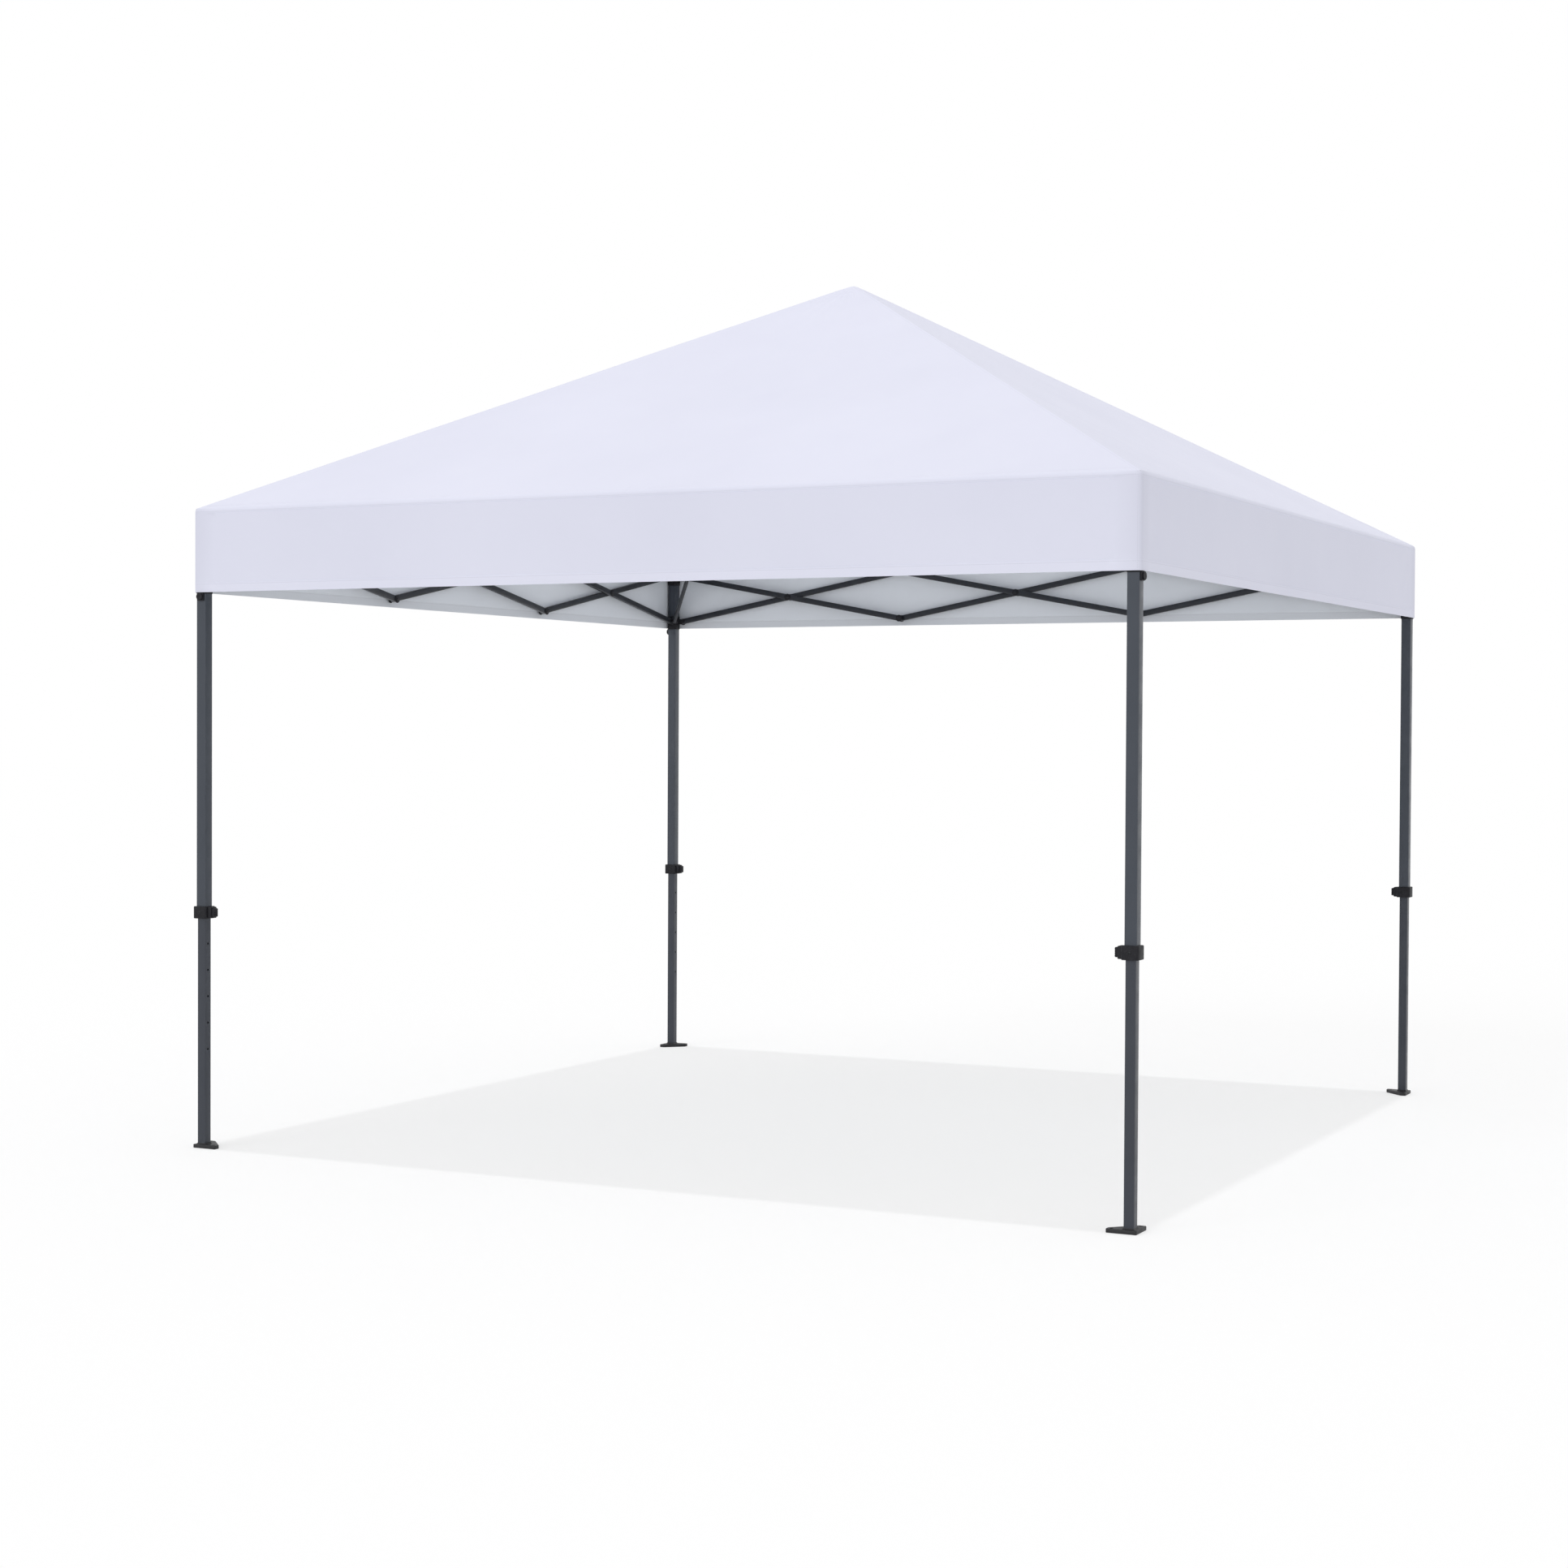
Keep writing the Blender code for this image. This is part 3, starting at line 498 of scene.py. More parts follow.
def prism(outline, bottom, top, corner_radius, rim):
    """Flat plate from an outline, with rounded corners and softened rims."""
    bm = bmesh.new()
    face = bm.faces.new([bm.verts.new((x, y, bottom)) for x, y in outline])
    raised = bmesh.ops.extrude_face_region(bm, geom=[face])["geom"]
    lifted = [v for v in raised if isinstance(v, bmesh.types.BMVert)]
    bmesh.ops.translate(bm, vec=(0.0, 0.0, top - bottom), verts=lifted)
    rounded(bm, [e for e in bm.edges if not level(e, 2)], corner_radius, 4)
    rounded(bm, [e for e in bm.edges if level(e, 2)], rim, 2)
    return shape_of(bm)


def slot_plate(start, length, width, thickness, radius):
    """Flat bar along X with round ends and softened edges; its thickness lies along Y."""
    bm = bmesh.new()
    half = width / 2
    steps = 10
    turns = [math.pi * (i / steps - 0.5) for i in range(steps + 1)]
    outline = [(start + length + half * math.cos(a), half * math.sin(a)) for a in turns]
    outline += [(start - half * math.cos(a), -half * math.sin(a)) for a in turns]
    face = bm.faces.new([bm.verts.new((x, -thickness / 2, z)) for x, z in outline])
    moved = bmesh.ops.extrude_face_region(bm, geom=[face])["geom"]
    far = [v for v in moved if isinstance(v, bmesh.types.BMVert)]
    bmesh.ops.translate(bm, vec=(0.0, thickness, 0.0), verts=far)
    rounded(bm, [e for e in bm.edges if level(e, 1)], radius, 3)
    return shape_of(bm)


def turned(profile, steps=32):
    """Solid turned about Z from pairs of radius and height that start and end on the axis."""
    bm = bmesh.new()
    rings = []
    for radius, height in profile:
        count = steps if radius > 0 else 1
        angles = [2 * math.pi * i / steps for i in range(count)]
        rings.append([bm.verts.new((radius * math.cos(a), radius * math.sin(a), height)) for a in angles])
    for lower, upper in zip(rings, rings[1:]):
        for i in range(steps):
            pair = (i, (i + 1) % steps)
            around = [lower[k % len(lower)] for k in pair] + [upper[k % len(upper)] for k in pair[::-1]]
            bm.faces.new(list(dict.fromkeys(around)))
    return shape_of(bm)


def dome_profile(radius, height):
    angles = [QUARTER_TURN * i / 6 for i in range(6)]
    rise = [(radius * math.cos(a), height * math.sin(a)) for a in angles]
    return [(0.0, 0.0), *rise, (0.0, height)]


def disc_profile(radius, height, rim):
    return [
        (0.0, 0.0), (radius, 0.0), (radius, height - rim),
        (radius - rim * 0.3, height - rim * 0.3), (radius - rim, height), (0.0, height),
    ]


def rod(radius, start, end, sides=32):
    along = Vector(end) - Vector(start)
    shape = turned([(0.0, 0.0), (radius, 0.0), (radius, along.length), (0.0, along.length)], sides)
    return placed(shape, facing(start, along))


def combined(base, others, operation):
    for other in others:
        modifier = base.modifiers.new("combine", "BOOLEAN")
        modifier.operation = operation
        modifier.object = other
    bpy.context.view_layer.update()
    mesh = bpy.data.meshes.new_from_object(base.evaluated_get(bpy.context.evaluated_depsgraph_get()))
    for shape in (base, *others):
        bpy.data.objects.remove(shape)
    result = bpy.data.objects.new("shape", mesh)
    bpy.context.scene.collection.objects.link(result)
    return result


def united(base, *others):
    return combined(base, others, "UNION")


def cut(base, *others):
    return combined(base, others, "DIFFERENCE")


def smoothed(mesh, degrees=40):
    mesh.shade_smooth()
    mesh.set_sharp_from_angle(angle=math.radians(degrees))
    return mesh


def merged(name, *parts):
    """One mesh from pairs of a shape and its material."""
    bm = bmesh.new()
    mesh = bpy.data.meshes.new(name)
    slots = []
    for shape, material in parts:
        if material not in slots:
            slots.append(material)
            mesh.materials.append(material)
        before = len(bm.faces)
        bm.from_mesh(shape.data)
        bm.faces.ensure_lookup_table()
        for face in bm.faces[before:]:
            face.material_index = slots.index(material)
        bpy.data.objects.remove(shape)
    bm.to_mesh(mesh)
    bm.free()
    return smoothed(mesh)


def piece(name, mesh, place, body, replaces):
    made = bpy.data.objects.new(name, mesh)
    bpy.context.scene.collection.objects.link(made)
    made.matrix_world = place
    bpy.context.view_layer.update()
    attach(made, body)
    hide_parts(*replaces)
    return made


def corner_place(index):
    """Matrix from a corner's own frame, with the leg axis as its Z, to the canopy's frame."""
    name = CORNERS[index]
    turn = Matrix.Rotation(index * QUARTER_TURN, 4, "Z")
    first = pivot(f"{SIDES[index]}_bracket_bar_by_{name}_hinge")
    axis = first - turn @ Vector((SIDE_PIVOT_OFFSET, 0.0, 0.0))
    return Matrix.Translation((axis.x, axis.y, 0.0)) @ turn


PLACES = [corner_place(index) for index in range(len(CORNERS))]


# Cloth

def soft_max(a, b, rounding):
    """Larger of two values, blended where they are close."""
    return 0.5 * (a + b + math.sqrt((a - b) ** 2 + rounding ** 2))


PANEL_ANGLE = math.atan2(ROOF_RISE, COVER_HALF)
EAVE_TURN = QUARTER_TURN - PANEL_ANGLE
EAVE_TANGENT = EAVE_ROUNDING * math.tan(EAVE_TURN / 2)
EAVE_INSET = EAVE_ROUNDING * (1.0 - math.cos(EAVE_TURN / 2))

# One ridge of the roof, up from the front-left corner, and the half panel on either side of it
ROOF_HALF = COVER_HALF - EAVE_INSET
ROOF_CORNER = Vector((-ROOF_HALF, -ROOF_HALF, EAVE_HEIGHT))
RIDGE_RUN = Vector((ROOF_HALF, ROOF_HALF, ROOF_RISE * ROOF_HALF / COVER_HALF))
RIDGE_LENGTH = RIDGE_RUN.length
RIDGE = RIDGE_RUN.normalized()
WIDEST_ALONG = ROOF_HALF * RIDGE.x
WIDEST = ROOF_HALF * math.sqrt(1.0 - RIDGE.x ** 2)


def inset_of(across, along):
    """Distance of a point inside the cover's outline, which is rounded at the corners."""
    start = COVER_HALF - CORNER_ROUNDING
    if min(across, along) > start:
        return CORNER_ROUNDING - math.hypot(across - start, along - start)
    return COVER_HALF - max(across, along)


def eave_height(inset):
    """Height of the rounded eave at a distance inside the cover's outline."""
    if inset >= EAVE_ROUNDING:
        return EAVE_HEIGHT + EAVE_ROUNDING
    rise = math.sqrt(EAVE_ROUNDING ** 2 - (EAVE_ROUNDING - inset) ** 2)
    return EAVE_HEIGHT - EAVE_TANGENT + rise


def roof_height(x, y):
    """Outer surface of the roof: four panels, slack between rounded ridges, and creased at the peak."""
    across, along = abs(x), abs(y)
    reach = min(1.0, soft_max(across, along, RIDGE_ROUNDING) / COVER_HALF)
    tip = math.hypot(reach, PEAK_ROUNDING / COVER_HALF)
    far = max(across, along)
    off_ridge = 1.0 - (min(across, along) / far) ** 2 if far > 1e-6 else 0.0
    up_panel = math.sin(math.pi * min(1.0, far / COVER_HALF))
    slack = ROOF_SAG * off_ridge * up_panel
    spot = Vector((x, y, 0.0)) * RIPPLES_PER_METRE
    ripple = ROOF_RIPPLE * noise.noise(spot + Vector((0.0, 0.0, 0.4))) * up_panel
    out = math.hypot(x, y)
    fade = min(1.0, out / CREASE_START) * math.exp(-((out / CREASE_REACH) ** 2))
    wander = 2.0 * noise.noise(spot * 2.0)
    fold = 0.5 + 0.5 * math.sin(CREASES_PER_TURN * math.atan2(y, x) + wander)
    panel = EAVE_HEIGHT + ROOF_RISE * (1.0 - tip) - slack + ripple - CREASE_DEPTH * fade * fold * off_ridge
    inset = inset_of(across, along)
    return min(panel, eave_height(inset)) if inset < EAVE_ROUNDING else panel


def sheet_mesh(rows):
    """Grid of points as one surface."""
    bm = bmesh.new()
    grid = [[bm.verts.new(point) for point in row] for row in rows]
    for upper, lower in zip(grid, grid[1:]):
        for i in range(len(upper) - 1):
            bm.faces.new((upper[i], lower[i], lower[i + 1], upper[i + 1]))
    bmesh.ops.remove_doubles(bm, verts=bm.verts, dist=1e-5)
    bmesh.ops.dissolve_degenerate(bm, edges=bm.edges, dist=1e-6)
    return bm


def cloth_piece(name, rows, outward, body):
    """Sheet with its own thickness, with the inner cloth on its inner face, painted paler to stand in for
    light shining through the cloth.
    """
    bm = sheet_mesh(rows)
    bmesh.ops.recalc_face_normals(bm, faces=bm.faces)
    middle = sum((f.normal for f in bm.faces), Vector())
    if middle.dot(outward) < 0:
        bmesh.ops.reverse_faces(bm, faces=bm.faces)
    mesh = bpy.data.meshes.new(name)
    bm.to_mesh(mesh)
    bm.free()
    mesh.materials.append(CLOTH)
    mesh.materials.append(INSIDE_CLOTH_PAINTED_LIGHT)
    made = bpy.data.objects.new(name, mesh)
    bpy.context.scene.collection.objects.link(made)
    wall = made.modifiers.new("wall", "SOLIDIFY")
    wall.thickness = CLOTH_THICKNESS
    wall.offset = -1.0
    wall.material_offset = 1
    bpy.context.view_layer.update()
    solid = bpy.data.meshes.new_from_object(made.evaluated_get(bpy.context.evaluated_depsgraph_get()))
    made.modifiers.clear()
    made.data = smoothed(solid, 50)
    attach(made, body)
    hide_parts("front_rear_cloth", "left_right_cloth")
    return made


def within_outline(point):
    """Point moved in to the rounded outline of the roof's edge, if it lies outside."""
    start = COVER_HALF - CORNER_ROUNDING
    off = Vector((abs(point.x) - start, abs(point.y) - start))
    limit = CORNER_ROUNDING - EAVE_INSET
    if min(off) > 0.0 and off.length > limit:
        off *= limit / off.length
        return Vector((math.copysign(start + off.x, point.x), math.copysign(start + off.y, point.y), 0.0))
    return point


def side_of(index, towards_next):
    """Name of the side on one hand of a corner or the other."""
    return SIDES[index] if towards_next else SIDES[index - 1]


def along_eave(towards_next):
    """Direction of a side's eave from the front-left corner."""
    return X_AXIS if towards_next else Y_AXIS


def out_of_side(towards_next):
    """Direction that a side faces, at the front-left corner."""
    return -Y_AXIS if towards_next else -X_AXIS


def away_from_ridge(towards_next):
    """Direction in a half panel's plane, square to the ridge."""
    eave = along_eave(towards_next)
    return (eave - RIDGE * eave.dot(RIDGE)).normalized()


def panel_width(along):
    """Distance from the ridge to the far edge of a half panel, square to the ridge."""
    if along <= WIDEST_ALONG:
        return WIDEST * along / WIDEST_ALONG
    return WIDEST * (RIDGE_LENGTH - along) / (RIDGE_LENGTH - WIDEST_ALONG)


def roof_row(index, along, towards_next):
    """Points of a half panel from its ridge to its far edge, closest together at both ends."""
    turn = Matrix.Rotation(index * QUARTER_TURN, 4, "Z")
    row = []
    for j in range(ROOF_COLUMNS + 1):
        off = panel_width(along) * (0.5 - 0.5 * math.cos(math.pi * j / ROOF_COLUMNS))
        point = within_outline(turn @ (ROOF_CORNER + RIDGE * along + away_from_ridge(towards_next) * off))
        row.append((point.x, point.y, roof_height(point.x, point.y)))
    return row


def spread(start, end, steps, power=1.0):
    """Places from a start to an end, closest together at the start for a power above one."""
    return [start + (end - start) * (i / steps) ** power for i in range(steps + 1)]


def roof_places():
    """Places along a ridge for the rows at the corner, by the eave, by the peak and at the tip."""
    middle = RIDGE_LENGTH / 2
    tip = RIDGE_LENGTH - ROOF_TIP_LENGTH
    at_corner = spread(0.0, ROOF_CORNER_LENGTH, ROOF_END_ROWS, 2.0)
    by_eave = spread(ROOF_CORNER_LENGTH, WIDEST_ALONG, ROOF_ROWS)
    by_eave += spread(WIDEST_ALONG, middle, ROOF_ROWS // 6)[1:]
    by_peak = spread(tip, middle, ROOF_ROWS, 1.3)
    at_tip = spread(RIDGE_LENGTH, tip, ROOF_END_ROWS, 1.4)
    return at_corner, by_eave, by_peak, at_tip


def ridge_row(index, along):
    """Points right across both half panels of one ridge."""
    return roof_row(index, along, False)[:0:-1] + roof_row(index, along, True)


def eave_steps():
    """Drops from the middle of the rounded eave to the hem, each with how far it stands back."""
    turns = [EAVE_TURN / 2 * (1.0 - i / ARC_STEPS) for i in range(ARC_STEPS + 1)]
    steps = []
    for turn in turns:
        drop = EAVE_TANGENT - EAVE_ROUNDING * math.sin(turn)
        steps.append((drop, EAVE_ROUNDING * (1.0 - math.cos(turn))))
    end = VALANCE_DROP - HEM_BAND
    steps += [(EAVE_BAND - LAP_EDGE, 0.0), (EAVE_BAND, LAP_STEP)]
    for i in range(1, VALANCE_PLAIN_ROWS):
        steps.append((EAVE_BAND + (end - EAVE_BAND) * i / VALANCE_PLAIN_ROWS, LAP_STEP))
    return [*steps, (end - LAP_EDGE, LAP_STEP), (end, 0.0), (end + HEM_BAND / 2, 0.0), (VALANCE_DROP, 0.0)]


def corner_steps():
    """Places from the middle of a rounded corner to the middle of the side, each with its lap's depth."""
    turns = [EIGHTH_TURN * (1.0 + i / ARC_STEPS) for i in range(ARC_STEPS + 1)]
    steps = [(CORNER_ROUNDING * (1.0 - math.cos(a)), 0.0) for a in turns]
    steps.append((CORNER_BAND - CORNER_TAPER, 0.0))
    for i in range(VALANCE_COLUMNS + 1):
        steps.append((CORNER_BAND + (COVER_HALF - CORNER_BAND) * i / VALANCE_COLUMNS, LAP_STEP))
    return steps


def outline_spot(along, inset):
    """Point on the cover's outline along the front, near its front-left corner."""
    lean = max(0.0, 1.0 - along / CORNER_ROUNDING)
    radius = CORNER_ROUNDING - inset
    x = max(along, CORNER_ROUNDING) - radius * lean
    y = CORNER_ROUNDING - radius * math.sqrt(1.0 - lean ** 2)
    return x - COVER_HALF, y - COVER_HALF


def valance_rows(index, towards_next):
    """Half a side's valance, from its corner to the middle of the side, with tucks by the corner."""
    turn = Matrix.Rotation(index * QUARTER_TURN, 4, "Z")
    outward = out_of_side(towards_next)
    rows = []
    for drop, down_step in eave_steps():
        depth = drop / VALANCE_DROP
        on_eave = drop < EAVE_BAND - LAP_EDGE
        row = []
        for along, along_step in corner_steps():
            from_middle = 1.0 - along / COVER_HALF
            free = depth ** 1.5 * (1.0 - from_middle ** 6)
            back = down_step if on_eave else min(down_step, along_step)
            x, y = outline_spot(along, back)
            point = turn @ Vector((x, y, 0.0) if towards_next else (y, x, 0.0))
            wave = noise.noise(point * WAVES_PER_METRE + Vector((0.0, 0.0, depth * 0.7 + 3.1)))
            tuck = math.sin(2 * math.pi * (along - drop * 0.9) / TUCK_PITCH)
            start_share = min(1.0, max(0.0, along / TUCK_START - 1.0))
            near = math.sin(math.pi * depth) * math.exp(-along / TUCK_REACH) * start_share
            out = VALANCE_WAVE * free * (wave - 0.15) + TUCK_DEPTH * near * (tuck - 1.0) / 2
            point += turn @ (outward * out)
            row.append((point.x, point.y, EAVE_HEIGHT - drop))
        rows.append(row)
    return rows


def add_roof(index):
    """Roof round one ridge: a corner on the leg, and two half panels on each of the ridge's rafters."""
    name = CORNERS[index]
    at_corner, by_eave, by_peak, _ = roof_places()
    rows = [ridge_row(index, s) for s in at_corner]
    body = f"{name}_upper_leg"
    made = cloth_piece(f"{name}_roof_corner", rows, UP, body)
    for places, part, body, aside, share in (
        (by_eave, "roof_eave", f"{name}_lower_rafter", FOLDED_EAVE_ASIDE, FOLDED_EAVE_SHARE),
        (by_peak, "roof_peak", f"{name}_upper_rafter", FOLDED_PEAK_ASIDE, FOLDED_PEAK_SHARE),
    ):
        for towards_next in (True, False):
            rows = [roof_row(index, s, towards_next) for s in places]
            made = cloth_piece(f"{side_of(index, towards_next)}_{part}_by_{name}", rows, UP, body)
            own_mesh(made)


def add_roof_tip():
    """Peak of the roof, which stays on the hub's cap."""
    rows = []
    for along in roof_places()[-1]:
        rows.append([point for index in range(len(CORNERS)) for point in ridge_row(index, along)])
    made = cloth_piece("roof_tip", rows, UP, "hub")


def add_valances(index):
    """Half valance on either side of one corner, both carried by its leg."""
    name = CORNERS[index]
    body = f"{name}_upper_leg"
    turn = Matrix.Rotation(index * QUARTER_TURN, 3, "Z")
    for towards_next in (True, False):
        side = side_of(index, towards_next)
        rows = valance_rows(index, towards_next)
        made = cloth_piece(f"{side}_valance_by_{name}", rows, turn @ out_of_side(towards_next), body)
        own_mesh(made)


# Flat bars with round bosses and domed rivets at their pivots

def bar_mesh(name, length, width, side, pivots):
    """Bar along X; each pivot is a share of its length and whether a boss stands under its rivet."""
    out = Vector((0.0, side, 0.0))
    parts = [(slot_plate(0.0, length, width, BAR_THICKNESS, BAR_ROUNDING), BAR_STEEL)]
    for share, has_boss in pivots:
        spot = Vector((share * length, 0.0, 0.0)) + out * BAR_THICKNESS / 2
        if has_boss:
            boss = turned(disc_profile(BOSS_RADIUS, BOSS_HEIGHT, BOSS_RIM))
            parts.append((placed(boss, facing(spot, out)), PLASTIC))
            spot += out * BOSS_HEIGHT
        rivet = turned(dome_profile(RIVET_RADIUS, RIVET_HEIGHT), 16)
        parts.append((placed(rivet, facing(spot, out)), RIVET))
    return merged(name, *parts)


def bar_place(start, end, across):
    """Matrix that lays a bar's X along start to end with its Y along across."""
    x = (end - start).normalized()
    z = x.cross(across).normalized()
    y = z.cross(x)
    return Matrix.Translation(start) @ Matrix((x, y, z)).transposed().to_4x4()


def add_bar(node, start, end, across, layer, side, pivots, width=BAR_WIDTH):
    mesh = bar_mesh(f"{node}_mesh", (end - start).length, width, side, pivots)
    place = bar_place(start + across * layer, end + across * layer, across)
    piece(f"{node}_tube", mesh, place, node, [node])


def add_truss():
    bosses = ((0.0, True), (0.5, True), (1.0, True))
    near, far = -LAYER_PITCH / 2, LAYER_PITCH / 2
    for index, name in enumerate(CORNERS):
        for side, extra in ((SIDES[index], 0.0), (SIDES[index - 1], QUARTER_TURN)):
            turn = Matrix.Rotation(index * QUARTER_TURN + extra, 3, "Z")
            along = turn @ X_AXIS
            across = turn @ Y_AXIS
            top = pivot(f"{side}_bracket_bar_by_{name}_hinge")
            low_node = pivot(f"{side}_centre_bar_by_{name}_hinge")
            climb = along * (low_node - top).dot(along) + Vector((0.0, 0.0, top.z - low_node.z))
            low_start = Vector((top.x, top.y, low_node.z))
            add_bar(f"{side}_bracket_bar_by_{name}", top, low_node, across, near, -1, bosses)
            add_bar(f"{side}_slider_bar_by_{name}", low_start, low_start + climb, across, far, 1, bosses)
            add_bar(f"{side}_centre_bar_by_{name}", low_node, low_node + climb, across, far, 1, bosses)


def strut_end(name, start, across):
    """Middle of a strut's far end, from the point of its node that is farthest from its first pivot."""
    points = [v.co - start for v in frame["nodes"][f"{name}_strut"].data.vertices]
    flat = [p - across * p.dot(across) for p in points]
    tip = max(flat, key=lambda p: p.length)
    return start + tip * (1.0 - STRUT_WIDTH / 2 / tip.length)


def add_rafters():
    for index, name in enumerate(CORNERS):
        across = Matrix.Rotation(index * QUARTER_TURN + EIGHTH_TURN, 3, "Z") @ Y_AXIS
        foot = pivot(f"{name}_upper_leg_hinge")
        knee = pivot(f"{name}_lower_rafter_hinge")
        hub = pivot(f"{name}_upper_rafter_hinge") - across * LAYER_PITCH
        slider = pivot(f"{name}_strut_hinge")
        top = strut_end(name, slider, across)
        plain = ((0.0, False), (1.0, False))
        add_bar(f"{name}_lower_rafter", foot, knee, across, 0.0, -1, ((0.0, False), (1.0, True)))
        add_bar(f"{name}_upper_rafter", knee, hub, across, LAYER_PITCH, 1, ((0.0, True), (1.0, True)))
        add_bar(f"{name}_strut", slider, top, across, -LAYER_PITCH, -1, plain, STRUT_WIDTH)


# Fittings

def lug(root, offset, height, layer, side, width, turn):
    """Plate beside a bar's layer, from inside the body out to the pivot, with a round end."""
    middle = layer + side * (BAR_THICKNESS / 2 + LAYER_GAP + LUG_THICKNESS / 2)
    shape = slot_plate(root, offset - root, width, LUG_THICKNESS, LUG_ROUNDING)
    return placed(shape, Matrix.Rotation(turn, 4, "Z") @ Matrix.Translation((0.0, middle, height)))


def screw(spot, direction):
    """Button-head screw with a hex recess."""
    head = turned(dome_profile(SCREW_RADIUS, SCREW_HEIGHT))
    recess = rod(SCREW_RECESS, (0.0, 0.0, SCREW_HEIGHT * 0.4), (0.0, 0.0, 2 * SCREW_HEIGHT), 6)
    return placed(cut(head, recess), facing(spot, direction))


def bracket_mesh():
    """Moulded socket over the leg's top, with a lug for each side's truss and one for the rafter."""
    bottom = BRACKET_TOP - BRACKET_LENGTH
    top_pivot = pivot("front_bracket_bar_by_front_left_hinge").z
    rafter_foot = pivot("front_left_upper_leg_hinge").z
    root = BRACKET_SIZE / 4
    socket = united(
        post(BRACKET_SIZE, bottom, BRACKET_TOP, FITTING_ROUNDING, FITTING_RIM),
        lug(root, SIDE_PIVOT_OFFSET, top_pivot, -LAYER_PITCH / 2, 1, BAR_WIDTH, 0.0),
        lug(root, SIDE_PIVOT_OFFSET, top_pivot, -LAYER_PITCH / 2, 1, BAR_WIDTH, QUARTER_TURN),
        lug(root, DIAGONAL_PIVOT_OFFSET, rafter_foot, 0.0, 1, BAR_WIDTH, EIGHTH_TURN),
    )
    bore = post(UPPER_TUBE, bottom - BRACKET_LENGTH, BRACKET_TOP - BRACKET_ROOF, TUBE_ROUNDING)
    face = BRACKET_SIZE / 2
    screw_height = bottom + BRACKET_LENGTH / 6
    return merged(
        "bracket",
        (cut(socket, bore), PLASTIC),
        (screw((0.0, face, screw_height), Y_AXIS), RIVET),
        (screw((face, 0.0, screw_height), X_AXIS), RIVET),
    )


def collar_mesh():
    """Collar at the foot of the upper tube, with the height lock's boss on its +X face."""
    half_width, half_height = LOCK_BOSS_WIDTH / 2, LOCK_BOSS_HEIGHT / 2
    body = united(
        post(COLLAR_SIZE, COLLAR_BOTTOM, COLLAR_TOP, COLLAR_ROUNDING, FITTING_RIM),
        block(
            (0.0, -half_width, COLLAR_MIDDLE - half_height),
            (LOCK_BOSS_FACE, half_width, COLLAR_MIDDLE + half_height),
            SOFT_EDGE,
        ),
    )
    pocket_half, pocket_rise = LOCK_WIDTH / 2 + RUNNING_GAP, LOCK_HEIGHT / 2 + RUNNING_GAP
    pocket = block(
        (LOCK_FACE - 2 * LOCK_LENGTH, -pocket_half, COLLAR_MIDDLE - pocket_rise),
        (LOCK_FACE + LOCK_LENGTH, pocket_half, COLLAR_MIDDLE + pocket_rise),
        SOFT_EDGE,
    )
    bore = post(LOWER_TUBE + 2 * RUNNING_GAP, 0.0, 2 * COLLAR_TOP, TUBE_ROUNDING)
    face = COLLAR_SIZE / 2
    return merged(
        "collar",
        (cut(body, bore, pocket), PLASTIC),
        (screw((0.0, face, COLLAR_MIDDLE), Y_AXIS), RIVET),
        (screw((0.0, -face, COLLAR_MIDDLE), -Y_AXIS), RIVET),
    )


def lock_mesh():
    """Push block of the height lock, with finger grooves across its face."""
    half_width, half_height = LOCK_WIDTH / 2, LOCK_HEIGHT / 2
    body = block(
        (LOCK_FACE - LOCK_LENGTH, -half_width, COLLAR_MIDDLE - half_height),
        (LOCK_FACE, half_width, COLLAR_MIDDLE + half_height),
        SOFT_EDGE,
    )
    grooves = []
    for step in (-1, 0, 1):
        height = COLLAR_MIDDLE + step * GROOVE_PITCH
        start, end = (LOCK_FACE, -LOCK_WIDTH, height), (LOCK_FACE, LOCK_WIDTH, height)
        grooves.append(rod(GROOVE_RADIUS, start, end, 12))
    return merged("lock", (cut(body, *grooves), PLASTIC))


def upper_tube_mesh():
    inner = UPPER_TUBE - 2 * TUBE_WALL
    bottom, top = COLLAR_TOP - FITTING_RIM, BRACKET_TOP - BRACKET_ROOF
    outside = post(UPPER_TUBE, bottom, top, TUBE_ROUNDING)
    inside = post(inner, bottom - TUBE_WALL, top - TUBE_WALL, TUBE_ROUNDING - TUBE_WALL)
    return merged("upper_tube", (cut(outside, inside), UPPER_STEEL))


def lower_tube_mesh():
    """Lower tube with its row of stop holes facing the height lock, and the guide plug on its top."""
    inner = LOWER_TUBE - 2 * TUBE_WALL
    bore_radius = TUBE_ROUNDING - TUBE_WALL
    outside = post(LOWER_TUBE, FOOT_THICKNESS, LOWER_TOP, TUBE_ROUNDING)
    inside = post(inner, FOOT_THICKNESS + TUBE_WALL, LOWER_TOP + TUBE_WALL, bore_radius)
    holes = [rod(STOP_HOLE_RADIUS, (0.0, 0.0, z), (LOWER_TUBE, 0.0, z), 20) for z in STOP_HOLES]
    bush_bottom = LOWER_TOP - BUSH_LENGTH
    bush = cut(
        post(BUSH_WIDTH, bush_bottom, LOWER_TOP, TUBE_ROUNDING, TUBE_WALL / 2),
        post(LOWER_TUBE - TUBE_WALL, bush_bottom - TUBE_WALL, LOWER_TOP + TUBE_WALL, bore_radius),
    )
    return merged("lower_tube", (cut(outside, inside, *holes), LOWER_STEEL), (bush, PLASTIC))


